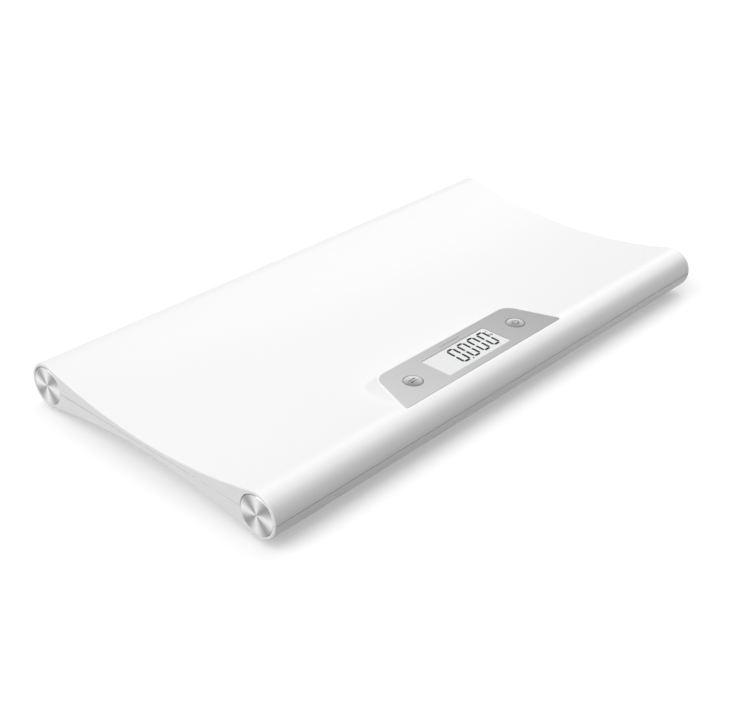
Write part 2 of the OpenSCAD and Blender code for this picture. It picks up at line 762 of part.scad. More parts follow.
module cell_spacers() color("silver") at_cells() difference() {
  translate([cell_x - cell_l / 2 + cell_block_l / 2, 0, 0])
    slab(cell_block_l, cell_w, cell_top, cell_top + spacer_t);
  for (d = cell_bolt_xs) translate([cell_x - cell_l / 2 + d, 0, 0])
    cylinder(h = 2 * tube_z, r = cell_bolt_r + 0.1, $fn = fine);
}

// Silicone over the strain gauges, above and below each cell's window
module gauge_covers() color("white") at_cells() translate([cell_x, 0, 0]) {
  slab(gauge_l, cell_w - 3, cell_top, cell_top + gauge_t);
  slab(gauge_l, cell_w - 3, cell_under - gauge_t, cell_under);
}

module cell_bolts() color("dimgray") at_cells() for (d = cell_bolt_xs)
  translate([cell_x - cell_l / 2 + d, 0, 0]) {
    translate([0, 0, cell_under - bolt_head_h]) cylinder(h = bolt_head_h, r = bolt_head_r, $fn = fine);
    translate([0, 0, cell_under]) cylinder(h = cell_w + spacer_t + 4.6, r = cell_bolt_r, $fn = fine);
  }

// Cables from the cells to the board's sockets: out of the cell's side, along
// the tube, and up into the socket from below
module front_cable(side) color("gray") {
  plug = [side * socket_x + pod_x, board_y - socket_y, socket_z];
  cable([
    [side * cell_x, -cell_y + cell_w / 2, cable_z], [side * cell_x, -cable_y, cable_z],
    [plug[0] + side * cable_turn, -cable_y, cable_z], plug - [0, 0, plug_rise], plug
  ], cable_r);
}

// The rear cables cross to the front between two ribs
module rear_cable(side) color("gray") {
  plug = [side * socket_x + pod_x, board_y + socket_y, socket_z];
  cable([
    [side * cell_x, cell_y - cell_w / 2, cable_z], [side * cell_x, cable_y, cable_z],
    [side * (cross_x + cable_turn), cable_y, cable_z], [side * cross_x, rib_reach, cross_z],
    [side * cross_x, -rib_reach - cable_turn / 2, cross_z], plug - [0, 0, plug_rise], plug
  ], cable_r);
}

// ---------------------------------------------------------------- feet and screws

// Foot: a cup that holds the pad, narrowing to a stem under the load cell
module foot(side, end) color("gainsboro") at_cell(side, end) translate([foot_x, 0, 0])
  rotate_extrude($fn = fine) polygon([
    [0, pad_t], [pad_r + trim_gap, pad_t], [pad_r + trim_gap, foot_under],
    [foot_r - foot_edge, foot_under], [foot_r, foot_under + foot_edge],
    [foot_r, foot_top - 4 * foot_edge], [foot_r - 3 * foot_edge, foot_top], [neck_r, foot_top],
    [neck_r - foot_edge, cell_under], [stud_r, cell_under], [stud_r, stud_end], [0, stud_end]
  ]);

module foot_pad(side, end) color("dimgray") at_cell(side, end) translate([foot_x, 0, 0])
  rotate_extrude($fn = fine) polygon([[0, 0], [pad_r - 0.5, 0], [pad_r, 0.5], [pad_r, pad_t], [0, pad_t]]);

module foot_studs() color("silver") at_cells() translate([foot_x, 0, stud_end])
  cylinder(h = cell_top - stud_end, r = stud_r, $fn = fine);

module shell_screws() color("silver") at_shell_screws() {
  translate([0, 0, screw_seat_z - screw_head_h]) cylinder(h = screw_head_h, r = screw_head_r, $fn = fine);
  translate([0, 0, screw_seat_z]) cylinder(h = screw_tip_z - screw_seat_z, r = screw_r, $fn = fine);
}

upper_shell();
lower_shell();
end_disc(LEFT, FRONT);  // end_disc_front_left
end_disc(RIGHT, FRONT);  // end_disc_front_right
end_disc(LEFT, REAR);  // end_disc_rear_left
end_disc(RIGHT, REAR);  // end_disc_rear_right
display_inlay();
display_lens();
display_glass();
display_reflector();
display_frame();
contact_strips();
circuit_board();
board_chips();
cable_sockets();
board_screws();
key_piece(LEFT);  // unit_key
key_piece(RIGHT);  // power_key
key_plunger(LEFT);  // unit_plunger
key_plunger(RIGHT);  // power_plunger
key_switch(LEFT);  // unit_switch
key_switch(RIGHT);  // power_switch
battery_door();
battery_cell(0);  // battery_1
battery_cell(1);  // battery_2
battery_cell(2);  // battery_3
battery_cell(3);  // battery_4
battery_contacts();
battery_leads();
load_cell(LEFT, FRONT);  // load_cell_front_left
load_cell(RIGHT, FRONT);  // load_cell_front_right
load_cell(LEFT, REAR);  // load_cell_rear_left
load_cell(RIGHT, REAR);  // load_cell_rear_right
cell_spacers();
gauge_covers();
cell_bolts();
front_cable(LEFT);  // cell_cable_front_left
front_cable(RIGHT);  // cell_cable_front_right
rear_cable(LEFT);  // cell_cable_rear_left
rear_cable(RIGHT);  // cell_cable_rear_right
foot(LEFT, FRONT);  // foot_front_left
foot(RIGHT, FRONT);  // foot_front_right
foot(LEFT, REAR);  // foot_rear_left
foot(RIGHT, REAR);  // foot_rear_right
foot_pad(LEFT, FRONT);  // foot_pad_front_left
foot_pad(RIGHT, FRONT);  // foot_pad_front_right
foot_pad(LEFT, REAR);  // foot_pad_rear_left
foot_pad(RIGHT, REAR);  // foot_pad_rear_right
foot_studs();
shell_screws();
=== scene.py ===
"""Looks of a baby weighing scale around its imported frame, in metres and in the frame's own axes:
X runs along the tubes, the front is -Y, Z is up and the floor is z = 0."""

import math

import bmesh
import bpy
import numpy as np
from bpy.props import FloatProperty, FloatVectorProperty, IntProperty, PointerProperty
from mathutils import Matrix, Vector


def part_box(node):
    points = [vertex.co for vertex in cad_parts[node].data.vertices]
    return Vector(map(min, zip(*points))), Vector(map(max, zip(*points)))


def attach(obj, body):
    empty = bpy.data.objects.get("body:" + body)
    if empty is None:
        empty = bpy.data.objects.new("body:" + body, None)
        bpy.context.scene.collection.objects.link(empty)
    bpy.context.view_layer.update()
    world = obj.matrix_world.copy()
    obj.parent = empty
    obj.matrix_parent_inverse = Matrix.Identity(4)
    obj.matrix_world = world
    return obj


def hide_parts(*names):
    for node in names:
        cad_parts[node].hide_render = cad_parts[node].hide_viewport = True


bl_info = {
    "name": "Baby scale looks",
    "version": (1, 0, 0),
    "blender": (4, 5, 0),
    "location": "3D View > Sidebar > Scale",
    "description": "Dresses the packed frame of a baby weighing scale and sets up its studio",
    "category": "Object",
}

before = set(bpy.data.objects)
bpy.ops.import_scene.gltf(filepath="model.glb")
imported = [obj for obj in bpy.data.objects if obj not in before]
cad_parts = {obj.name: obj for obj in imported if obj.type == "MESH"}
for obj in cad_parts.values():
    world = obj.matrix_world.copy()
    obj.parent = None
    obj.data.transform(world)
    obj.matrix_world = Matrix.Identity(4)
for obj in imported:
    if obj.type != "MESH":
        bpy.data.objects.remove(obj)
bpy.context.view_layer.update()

PLATFORM = "platform"
UNIT_KEY = "unit_key_body"
POWER_KEY = "power_key_body"

upper_low, upper_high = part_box("upper_shell")
inlay_low, inlay_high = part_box("display_inlay")
glass_low, glass_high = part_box("display_glass")
lens_low, lens_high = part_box("display_lens")
disc_low, disc_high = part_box("end_disc_front_left")
key_low, key_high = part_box("unit_key")

HALF_L = upper_high.x
PARTING = upper_low.z
TUBE_Y = -(disc_low.y + disc_high.y) / 2
TUBE_R = upper_high.z - PARTING
HALF_W = TUBE_Y + TUBE_R
DISC_R = (disc_high.y - disc_low.y) / 2
DISC_FACE = -disc_low.x
POD_X = (inlay_low.x + inlay_high.x) / 2
POD_TOP = inlay_high.z
INLAY_FLOOR = inlay_low.z
INLAY_FRONT = inlay_low.y
INLAY_REAR = inlay_high.y
KEY_Y = (key_low.y + key_high.y) / 2
UNIT_X = (key_low.x + key_high.x) / 2
POWER_X = 2 * POD_X - UNIT_X

# Thickness of the upper shell behind its end faces
END_WALL = 0.003
# How far a cutting tool reaches past what it cuts
FAR = 0.02
# Points nearer than this are one point: in a computed surface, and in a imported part's loose triangles
WELD, CAD_WELD = 1e-7, 1e-6
# Shares of a print's width where its rows have points
ACROSS = np.array([-0.5, 0, 0.5])

# Soft lights: strength, the angle that each fills in degrees, and the direction from the scale to it
LIGHTS = {
    "overhead": (0.84, 42, (0, 0, 1)),
    "left": (2.36, 60, (-0.72, 0.1, 0.78)),
    "right": (1.02, 60, (0.64, 0, 0.74)),
    "rear_right": (0.4, 60, (0.64, 0.577, 0.505)),
}


# ------------------------------------------------------------------ settings

class ScaleSizes(bpy.types.PropertyGroup):
    """Sizes of the moulded shells, the display and the keys."""

    wall: FloatProperty(name="Wall", description="Wall of both shells", default=0.0022, unit="LENGTH")
    tray_rise: FloatProperty(
        name="Tray rise", description="Height of the tray's lowest line above the parting line",
        default=0.0037, unit="LENGTH")
    under_drop: FloatProperty(
        name="Underside drop", description="Depth of the underside's highest line below the parting line",
        default=0.006, unit="LENGTH")
    end_round: FloatProperty(
        name="End rounding", description="Radius of the edge round both end faces",
        default=0.0012, unit="LENGTH")
    groove: FloatProperty(
        name="Seam groove", description="Depth and full height of the groove along the parting line",
        default=0.0006, unit="LENGTH")
    rim: FloatProperty(
        name="Pod rim", description="White rim round the inlay", default=0.0023, unit="LENGTH")
    rim_round: FloatProperty(
        name="Rim rounding", description="How far the rim's edge is rounded to each side",
        default=0.0007, unit="LENGTH")
    skirt_least: FloatProperty(
        name="Skirt width", description="Width of the pod's skirt where the pod has no height",
        default=0.005, unit="LENGTH")
    skirt_share: FloatProperty(
        name="Skirt spread", description="Skirt width gained with each unit of the pod's height",
        default=0.62, unit="NONE")
    inlay_width: FloatProperty(
        name="Inlay width", description="Width of the inlay along its front edge, corners unrounded",
        default=0.203, unit="LENGTH")
    corner_round: FloatProperty(
        name="Inlay corner", description="Radius of the inlay's rear corners", default=0.014, unit="LENGTH")
    toe_round: FloatProperty(
        name="Inlay toe", description="Radius of the inlay's front corners", default=0.002, unit="LENGTH")
    side_slope: FloatProperty(
        name="Side slope", description="How far the inlay's side runs inwards with each unit of depth",
        default=35 / 96, unit="NONE")
    trim_gap: FloatProperty(
        name="Trim gap", description="Gap round a glued trim piece", default=0.00015, unit="LENGTH")
    key_gap: FloatProperty(
        name="Key gap", description="Gap round a key's cap", default=0.0005, unit="LENGTH")
    key_radius: FloatProperty(
        name="Key radius", description="Radius of a key's cap", default=0.0081, unit="LENGTH")
    key_shoulder: FloatProperty(
        name="Key shoulder", description="Radius of the rounded edge of a key's cap",
        default=0.0009, unit="LENGTH")
    key_crown: FloatProperty(
        name="Key crown", description="Height of a key's middle over its edge",
        default=0.00056, unit="LENGTH")
    digit_height: FloatProperty(
        name="Digit height", description="Height of a digit", default=0.0232, unit="LENGTH")
    digit_width: FloatProperty(
        name="Digit width", description="Width of a digit", default=0.0096, unit="LENGTH")
    digit_pitch: FloatProperty(
        name="Digit pitch", description="Distance from one digit to the next", default=0.013, unit="LENGTH")
    digit_stroke: FloatProperty(
        name="Digit stroke", description="Width of a digit's bars", default=0.0023, unit="LENGTH")
    digit_lean: FloatProperty(
        name="Digit lean", description="Slant of the digits", default=math.radians(5), subtype="ANGLE")


class ScaleColours(bpy.types.PropertyGroup):
    """Colours of the finishes."""

    shell: FloatVectorProperty(
        name="Shell", description="Glossy white moulding", default=(0.83, 0.83, 0.83), subtype="COLOR")
    spun: FloatVectorProperty(
        name="Spun metal", description="Turned aluminium", default=(0.86, 0.86, 0.87), subtype="COLOR")
    inlay: FloatVectorProperty(
        name="Inlay", description="Silver grey inlay", default=(0.58, 0.58, 0.585), subtype="COLOR")
    pearl: FloatVectorProperty(
        name="Key", description="Pearl finish of the keys", default=(0.7, 0.7, 0.705), subtype="COLOR")
    screen: FloatVectorProperty(
        name="Screen", description="Unlit display", default=(0.86, 0.87, 0.86), subtype="COLOR")
    ink: FloatVectorProperty(
        name="Ink", description="Dark segments of the display", default=(0.012, 0.012, 0.013),
        subtype="COLOR")
    print_grey: FloatVectorProperty(
        name="Print", description="Grey print on the keys and the inlay", default=(0.05, 0.05, 0.052),
        subtype="COLOR")
    floor: FloatVectorProperty(
        name="Floor", description="Studio floor that the camera sees", default=(0.572, 0.572, 0.572),
        subtype="COLOR")
    bounce: FloatVectorProperty(
        name="Bounce", description="Unseen floor that throws light back on the scale",
        default=(0.44, 0.44, 0.44),
        subtype="COLOR")


class ScaleStudio(bpy.types.PropertyGroup):
    """Camera and lights."""

    lens: FloatProperty(
        name="Lens", description="Focal length on a sensor 36 mm wide", default=61.2, unit="CAMERA")
    azimuth: FloatProperty(
        name="Azimuth", description="Turn of the camera about the upright axis",
        default=math.radians(-48.04), subtype="ANGLE")
    elevation: FloatProperty(
        name="Elevation", description="Height of the camera above the horizon",
        default=math.radians(30.34), subtype="ANGLE")
    roll: FloatProperty(
        name="Roll", description="Roll of the camera", default=math.radians(1.13), subtype="ANGLE")
    place: FloatVectorProperty(
        name="Place", description="Place of the camera", default=(-0.75024, -0.65997, 0.57081),
        subtype="TRANSLATION")
    light: FloatProperty(
        name="Light", description="Strength of all the soft lights together", default=1.03, unit="NONE")
    steps: IntProperty(
        name="Steps", description="Steps round a curved edge", default=8, subtype="UNSIGNED")


# ------------------------------------------------------------------ mesh making

def grid_quads(rows, columns, round_rows=False, round_columns=False):
    """Quads of a rows by columns grid of points, numbered row by row, closed on itself where asked."""
    r = np.arange(rows if round_rows else rows - 1)
    c = np.arange(columns if round_columns else columns - 1)
    r, c = np.meshgrid(r, c, indexing="ij")
    r2, c2 = (r + 1) % rows, (c + 1) % columns
    corners = [r * columns + c, r * columns + c2, r2 * columns + c2, r2 * columns + c]
    return np.stack(corners, -1).reshape(-1, 4)


def fill_mesh(name, points, faces):
    """Mesh from an array of points and a list of faces."""
    mesh = bpy.data.meshes.new(name)
    mesh.from_pydata(np.asarray(points, float).tolist(), [], [list(map(int, f)) for f in faces])
    mesh.update()
    return mesh


def outward(mesh):
    """Merges doubles and turns every face of a closed mesh outwards."""
    bm = bmesh.new()
    bm.from_mesh(mesh)
    bmesh.ops.remove_doubles(bm, verts=bm.verts, dist=WELD)
    bmesh.ops.recalc_face_normals(bm, faces=bm.faces)
    bm.to_mesh(mesh)
    bm.free()
    return mesh


def new_object(name, mesh):
    """Object at the origin that shows a mesh."""
    obj = bpy.data.objects.new(name, mesh)
    bpy.context.scene.collection.objects.link(obj)
    return obj


def solid_piece(name, points, faces):
    """Object from a closed surface whose doubles are merged."""
    return new_object(name, outward(fill_mesh(name, points, faces)))


def prism(name, outline, z0, z1):
    """Solid between two heights over a flat outline: an array of x and y."""
    n = len(outline)
    low = np.column_stack([outline, np.full(n, z0)])
    high = np.column_stack([outline, np.full(n, z1)])
    sides = grid_quads(2, n, round_columns=True)
    return solid_piece(name, np.vstack([low, high]), [*sides, range(n), range(2 * n - 1, n - 1, -1)])


def block(name, low, high):
    """Box between two corners, for cutting."""
    outline = np.array([[low[0], low[1]], [high[0], low[1]], [high[0], high[1]], [low[0], high[1]]])
    return prism(name, outline, low[2], high[2])


def turned(name, profile, centre, axis="Z", around=96):
    """Solid turned about an axis: profile is an array of radius and height that starts and ends at
    radius 0. A point is centre + radius * (cos a, sin a) across the axis + height along it."""
    profile = np.asarray(profile, float)
    a = np.linspace(0, 2 * np.pi, around, endpoint=False)
    ring = profile[1:-1]
    x = ring[:, :1] * np.cos(a)
    y = ring[:, :1] * np.sin(a)
    z = np.repeat(ring[:, 1:], around, 1)
    points = np.stack([x, y, z], -1).reshape(-1, 3)
    poles = np.array([[0, 0, profile[0, 1]], [0, 0, profile[-1, 1]]])
    points = np.vstack([points, poles])
    if axis == "X":
        points = points[:, [2, 0, 1]]
    faces = [list(q) for q in grid_quads(len(ring), around, round_columns=True)]
    first, last = len(ring) * around, len(ring) * around + 1
    k = np.arange(around)
    faces += [[first, j, (j + 1) % around] for j in k]
    base = (len(ring) - 1) * around
    faces += [[last, base + (j + 1) % around, base + j] for j in k]
    return solid_piece(name, points + np.asarray(centre, float), faces)


def carve(obj, tools):
    """Applies solid tools to a piece in order: each is (tool, "DIFFERENCE", "UNION" or "INTERSECT")."""
    for tool, how in tools:
        cut = obj.modifiers.new("cut", "BOOLEAN")
        cut.operation = how
        cut.solver = "MANIFOLD"
        cut.object = tool
        bpy.context.view_layer.update()
        seen = obj.evaluated_get(bpy.context.evaluated_depsgraph_get())
        mesh = bpy.data.meshes.new_from_object(seen)
        obj.modifiers.remove(cut)
        old = obj.data
        obj.data = mesh
        bpy.data.meshes.remove(old)
        bpy.data.objects.remove(tool)
        if not len(mesh.polygons):
            raise RuntimeError(f"{obj.name}: nothing is left after a {how.lower()}")
    return obj


def cad_copy(node):
    """Copy of a CAD node's mesh, merged into one closed surface, as a new object."""
    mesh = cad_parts[node].data.copy()
    mesh.materials.clear()
    bm = bmesh.new()
    bm.from_mesh(mesh)
    bmesh.ops.remove_doubles(bm, verts=bm.verts, dist=CAD_WELD)
    bm.to_mesh(mesh)
    bm.free()
    if mesh.has_custom_normals:
        mesh.normals_split_custom_set([(0, 0, 0)] * len(mesh.loops))
    return new_object(node + "_copy", mesh)


def smooth_by_angle(obj, degrees):
    """Smooth shading that keeps every edge sharper than an angle."""
    obj.data.shade_smooth()
    obj.data.set_sharp_from_angle(angle=math.radians(degrees))
    return obj


def finish_piece(obj, body, slot, context, *nodes, finish=None):
    """Gives a piece its finish, its slot and its body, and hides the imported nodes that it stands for."""
    obj.data.materials.clear()
    obj.data.materials.append(make_finish(finish or slot, context.scene.scale_colours))
    if nodes:
        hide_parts(*nodes)
    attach(obj, body)
    return obj


# ------------------------------------------------------------------ shapes of the platform

def arc_radius(rise):
    """Radius of the arc that lies a rise from the parting line at the middle and touches both tubes."""
    return (TUBE_Y ** 2 + rise ** 2 - TUBE_R ** 2) / (2 * (TUBE_R - rise))


def skin_height(y, rise):
    """Height over the parting line: the tube's circle beside the touching point, else the tray's arc."""
    arc = arc_radius(rise)
    touch = TUBE_Y * arc / (arc + TUBE_R)
    y = np.abs(y)
    tube = np.sqrt(np.clip(TUBE_R ** 2 - (y - TUBE_Y) ** 2, 0, None))
    tray = rise + arc - np.sqrt(arc ** 2 - np.minimum(y, touch) ** 2)
    return np.where(y > touch, tube, tray)


def half_profile(rise, tube_steps=96, tray_steps=200):
    """Half of the cross section from the rear parting line to the front one, as y, height, and the outward
    normal. A tube is y = TUBE_Y + r cos a, z = r sin a up to where the arc touches it. The arc between is
    z = rise + R - sqrt(R * R - y * y)."""
    arc = arc_radius(rise)
    touch_y = TUBE_Y * arc / (arc + TUBE_R)
    a = np.linspace(0, math.acos((touch_y - TUBE_Y) / TUBE_R), tube_steps)
    tube = np.column_stack([TUBE_Y + TUBE_R * np.cos(a), TUBE_R * np.sin(a), np.cos(a), np.sin(a)])
    y = np.linspace(touch_y, -touch_y, tray_steps)[1:-1]
    height = rise + arc - np.sqrt(arc ** 2 - y ** 2)
    tray = np.column_stack([y, height, -y / arc, (rise + arc - height) / arc])
    return np.vstack([tube, tray, tube[::-1] * [-1, 1, -1, 1]])


def section_bar(name, rise, xs, insets, down, turn=1):
    """Closed bar along X. At each place x its section is the half profile moved inwards by an inset, closed
    by a straight line that lies down below the parting line. Turn is -1 for a bar upside down."""
    profile = half_profile(rise)
    insets = np.asarray(insets, float)[:, None]
    y = profile[None, :, 0] - insets * profile[None, :, 2]
    z = profile[None, :, 1] - insets * profile[None, :, 3]
    foot = np.stack([y[:, -1], y[:, 0]], 1)
    y = np.concatenate([y, foot], 1)
    z = np.concatenate([z, np.full(foot.shape, -down)], 1)
    rows, n = y.shape
    x = np.repeat(np.asarray(xs, float)[:, None], n, 1)
    points = np.stack([x, y, PARTING + turn * z], -1).reshape(-1, 3)
    faces = [*grid_quads(rows, n, round_columns=True), np.arange(n), np.arange((rows - 1) * n, rows * n)]
    return solid_piece(name, points, faces)


def plain_bar(name, rise, half_l, inset, down):
    """Bar of one section from end to end."""
    return section_bar(name, rise, [-half_l, half_l], [inset, inset], down)


def quarter(radius, steps):
    """Distances from an end face and the insets there: x = r (1 - cos a), inset = r (1 - sin a)."""
    a = np.linspace(0, math.pi / 2, steps)
    return radius * (1 - np.cos(a)), radius * (1 - np.sin(a))


def rounded_bar(name, rise, rounding, steps):
    """The outer skin as a bar whose edges round both end faces are a quarter circle."""
    away, inset = quarter(rounding, steps)
    left = -HALF_L + away
    spans = 10
    middle = np.linspace(left[-1], -left[-1], spans + 1)[1:-1]
    xs = np.concatenate([left, middle, -left[::-1]])
    return section_bar(name, rise, xs, np.concatenate([inset, 0 * middle, inset[::-1]]), 0)


def end_limit(name, rise, rounding, steps):
    """Space that rounds the ends of the lower shell: it lies outside the skin along the middle, meets it
    where the rounding starts, and follows a quarter circle to the end face."""
    away, inset = quarter(rounding, steps)
    outside, over = 0.0005, 0.004
    left = np.concatenate([[-HALF_L - outside / 10], -HALF_L + away, [-HALF_L + rounding + outside]])
    insets = np.concatenate([[rounding], inset, [-outside]])
    xs = np.concatenate([left, -left[::-1]])
    return section_bar(name, rise, xs, np.concatenate([insets, insets[::-1]]), over, turn=-1)


def plan_ring(name, z0, z1, outer, inner):
    """Frame round the platform's plan, between two distances from its edge and two heights."""
    ring = np.array([[-1, -1], [1, -1], [1, 1], [-1, 1]], float)
    size = np.array([HALF_L, HALF_W])
    loops = [(outer, z0), (outer, z1), (inner, z1), (inner, z0)]
    points = np.vstack([np.column_stack([ring * (size - away), np.full(4, z)]) for away, z in loops])
    return solid_piece(name, points, grid_quads(4, 4, round_rows=True, round_columns=True))


def end_seats(sizes):
    """Seats of the four discs in the tube ends: stepped plugs turned about X, wide for the disc and narrow
    for the stem behind it."""
    disc_depth, stem_depth, past_end = 0.0011, 0.004, 0.002
    wide, narrow = DISC_R + sizes.trim_gap, DISC_R / 4 + sizes.trim_gap
    floor, back, out = DISC_FACE - disc_depth, HALF_L - stem_depth, HALF_L + past_end
    seats = []
    for side in (-1, 1):
        profile = np.array([
            [0, back], [narrow, back], [narrow, floor], [wide, floor], [wide, out], [0, out]])
        for end in (-1, 1):
            seats.append(turned("disc_seat", profile * [1, side], (0, end * TUBE_Y, PARTING), "X"))
    return seats


# ------------------------------------------------------------------ pod

def pod_side(y, grow, sizes):
    """Half width of the inlay's outline at a place y, moved out by grow."""
    stretch = math.hypot(1, sizes.side_slope)
    return sizes.inlay_width / 2 - sizes.side_slope * (y - INLAY_FRONT) + grow * stretch


def rear_corner(sizes):
    """Centre of the inlay's rounded rear corner, from the pod's middle."""
    y = INLAY_REAR - sizes.corner_round
    return pod_side(y, -sizes.corner_round, sizes), y


def inlay_outline(sizes, grow, front_y):
    """Closed outline of the inlay moved out by grow, with both pairs of corners rounded: each corner is
    centre + radius * (cos a, sin a), and the right half is mirrored to the left."""
    steps = 16
    lean = math.atan(sizes.side_slope)
    toe = sizes.toe_round
    toe_y = front_y + toe
    toe_x = pod_side(toe_y, grow - toe, sizes)
    a = np.linspace(-math.pi / 2, lean, steps)
    front = np.column_stack([toe_x + toe * np.cos(a), toe_y + toe * np.sin(a)])
    corner_x, corner_y = rear_corner(sizes)
    a = np.linspace(lean, math.pi / 2, steps)
    r = sizes.corner_round + grow
    rear = np.column_stack([corner_x + r * np.cos(a), corner_y + r * np.sin(a)])
    right = np.vstack([front, rear])
    outline = np.vstack([right, right[::-1] * [-1, 1]])
    outline[:, 0] += POD_X
    return outline


def pod_distance(x, y, sizes):
    """Distance of a place outside the rim's outline: to its side line, round its corner or to its rear
    line, each less the rim's width. It is negative inside."""
    x = np.abs(x - POD_X)
    stretch = math.hypot(1, sizes.side_slope)
    corner_x, corner_y = rear_corner(sizes)
    side = (x - pod_side(y, 0, sizes)) / stretch
    dx, dy = x - corner_x, y - corner_y
    beside = dy - sizes.side_slope * dx <= 0
    corner = np.hypot(dx, dy) - sizes.corner_round
    return np.where(beside, side, np.where(dx <= 0, y - INLAY_REAR, corner)) - sizes.rim


def pod_height(x, y, sizes):
    """Height of the pod's surface: the tray's height plus (1 - t) squared of the pod's height over it. The
    run t goes from 0 at the rim's edge, which a parabola softens, to 1 at the end of the skirt. There the
    surface dives just under the tray, so the two never share a face."""
    d = pod_distance(x, y, sizes)
    e = sizes.rim_round
    soft = np.where(d < -e, 0, np.where(d > e, d, (d + e) ** 2 / (4 * e)))
    tray = PARTING + skin_height(y, sizes.tray_rise)
    rise = POD_TOP - tray
    width = sizes.skirt_least + sizes.skirt_share * np.clip(rise, 0, None)
    share = (1 - np.clip(soft / width, 0, 1)) ** 2
    sink = 0.000004
    return tray + rise * share - sink * (1 - share)


def pod_body(sizes):
    """The pod and its skirt as a closed solid over a grid: its rows follow the rim from the front left
    corner round to the front right one, and its columns run outwards from inside the rim to the skirt's
    end. The height is pod_height. The last column drops into the shell."""
    stretch = math.hypot(1, sizes.side_slope)
    lean = math.atan(sizes.side_slope)
    corner_x, corner_y = rear_corner(sizes)
    r = sizes.corner_round + sizes.rim
    side_steps, corner_steps, rear_steps, skirt_steps = 60, 21, 39, 19
    a = np.linspace(lean, math.pi / 2, corner_steps + 1)
    arc = np.column_stack([corner_x + r * np.cos(a), corner_y + r * np.sin(a), np.cos(a), np.sin(a)])
    y = np.linspace(-TUBE_Y, arc[0, 1], side_steps + 1)[:-1]
    turn = np.linspace(0, 1, side_steps + 1)[:-1]
    side = np.column_stack([
        pod_side(y, sizes.rim, sizes), y,
        stretch * (1 - turn) + turn / stretch, turn * sizes.side_slope / stretch])
    half = np.vstack([side, arc])
    x = np.linspace(corner_x, -corner_x, rear_steps + 1)[1:-1]
    rear = np.column_stack([x, 0 * x + INLAY_REAR + sizes.rim, 0 * x, 0 * x + 1])
    path = np.vstack([half, rear, half[::-1] * [-1, 1, -1, 1]])[::-1]
    path[:, 0] += POD_X

    # The rounding of the rim has eight steps, and the skirt runs a little past where its height is gone
    e = sizes.rim_round
    spare, more = 0.001, 1.04
    inside = np.concatenate([[-sizes.rim - spare, -1.3 * e], np.linspace(-1, 1, 9) * e])
    rise = np.clip(POD_TOP - PARTING - skin_height(path[:, 1], sizes.tray_rise), 0, None)
    reach = more * (sizes.skirt_least + sizes.skirt_share * (rise + spare))
    outside = e + np.linspace(0, 1, skirt_steps + 1)[None, 1:] * (reach - e)[:, None]
    d = np.concatenate([np.repeat(inside[None, :], len(path), 0), outside], 1)
    x = path[:, :1] + d * path[:, 2:3]
    y = path[:, 1:2] + d * path[:, 3:4]
    z = pod_height(x, y, sizes)
    x, y = (np.concatenate([v, v[:, -1:]], 1) for v in (x, y))
    buried = PARTING + 0.004
    z = np.concatenate([z, np.full((len(path), 1), buried)], 1)
    rows, columns = z.shape
    points = np.stack([x, y, z], -1).reshape(-1, 3)
    row, column = np.arange(rows), np.arange(columns)
    faces = [list(q) for q in grid_quads(rows, columns)]
    faces += [row * columns, row * columns + columns - 1,
              np.concatenate([column, ((rows - 1) * columns + column)[::-1]])]
    return solid_piece("pod_body", points, faces)


def pod_hollow(sizes, grow):
    """Room inside the pod: a loft between its outline under the roof and a wider one below, where it is
    open to the shell. It lies the shell's wall inside the rim."""
    glass_sunk, flare, foot, past_parting = 0.0019, 0.0055, 0.007, 0.001
    inset = sizes.rim - sizes.wall + grow
    roof = glass_low.z + glass_sunk + grow
    top = inlay_outline(sizes, inset, -TUBE_Y - grow)
    base = inlay_outline(sizes, inset + flare, -TUBE_Y - grow)
    n = len(top)
    heights = (roof, PARTING + foot, PARTING - past_parting)
    rings = [np.column_stack([o, np.full(n, z)]) for o, z in zip((top, base, base), heights)]
    faces = [*grid_quads(3, n, round_columns=True), range(n), range(2 * n, 3 * n)]
    return solid_piece("pod_hollow", np.vstack(rings), faces)


# ------------------------------------------------------------------ exact normals

def bar_skin(points, rise, sizes):
    """Gap to the bar's skin and the skin's normal there. The depth under the tube is its radius less the
    distance to its axis, and under the tray it is the distance to the arc's centre less the arc's radius.
    At the ends the skin lies a quarter circle deeper."""
    x, y, z = points[:, 0], points[:, 1], points[:, 2] - PARTING
    arc = arc_radius(rise)
    touch = TUBE_Y * arc / (arc + TUBE_R)
    dy = np.abs(y) - TUBE_Y
    never_zero = 1e-12
    from_axis = np.hypot(dy, z) + never_zero
    down = rise + arc - z
    from_arc = np.hypot(y, down)
    tube = np.abs(y) > touch
    depth = np.where(tube, TUBE_R - from_axis, from_arc - arc)
    ny = np.where(tube, np.sign(y) * dy / from_axis, -y / from_arc)
    nz = np.where(tube, z / from_axis, down / from_arc)
    r = sizes.end_round
    t = np.clip((np.abs(x) - HALF_L + r) / r, 0, 1)
    level = np.sqrt(1 - t * t)
    return np.abs(depth - r * (1 - level)), np.column_stack([np.sign(x) * t, ny * level, nz * level])


def pod_skin(points, sizes):
    """Gap to the pod's skin, its normal there from the slope over a short step, and whether the pod is
    above the bar."""
    x, y, z = points.T
    step = 0.00002
    height = pod_height(x, y, sizes)
    dx = (pod_height(x + step, y, sizes) - pod_height(x - step, y, sizes)) / (2 * step)
    dy = (pod_height(x, y + step, sizes) - pod_height(x, y - step, sizes)) / (2 * step)
    normal = np.column_stack([-dx, -dy, np.ones(len(x))])
    normal /= np.linalg.norm(normal, axis=1)[:, None]
    above = (height > PARTING + skin_height(y, sizes.tray_rise)) & (y > -TUBE_Y)
    return np.abs(z - height) * normal[:, 2], normal, above


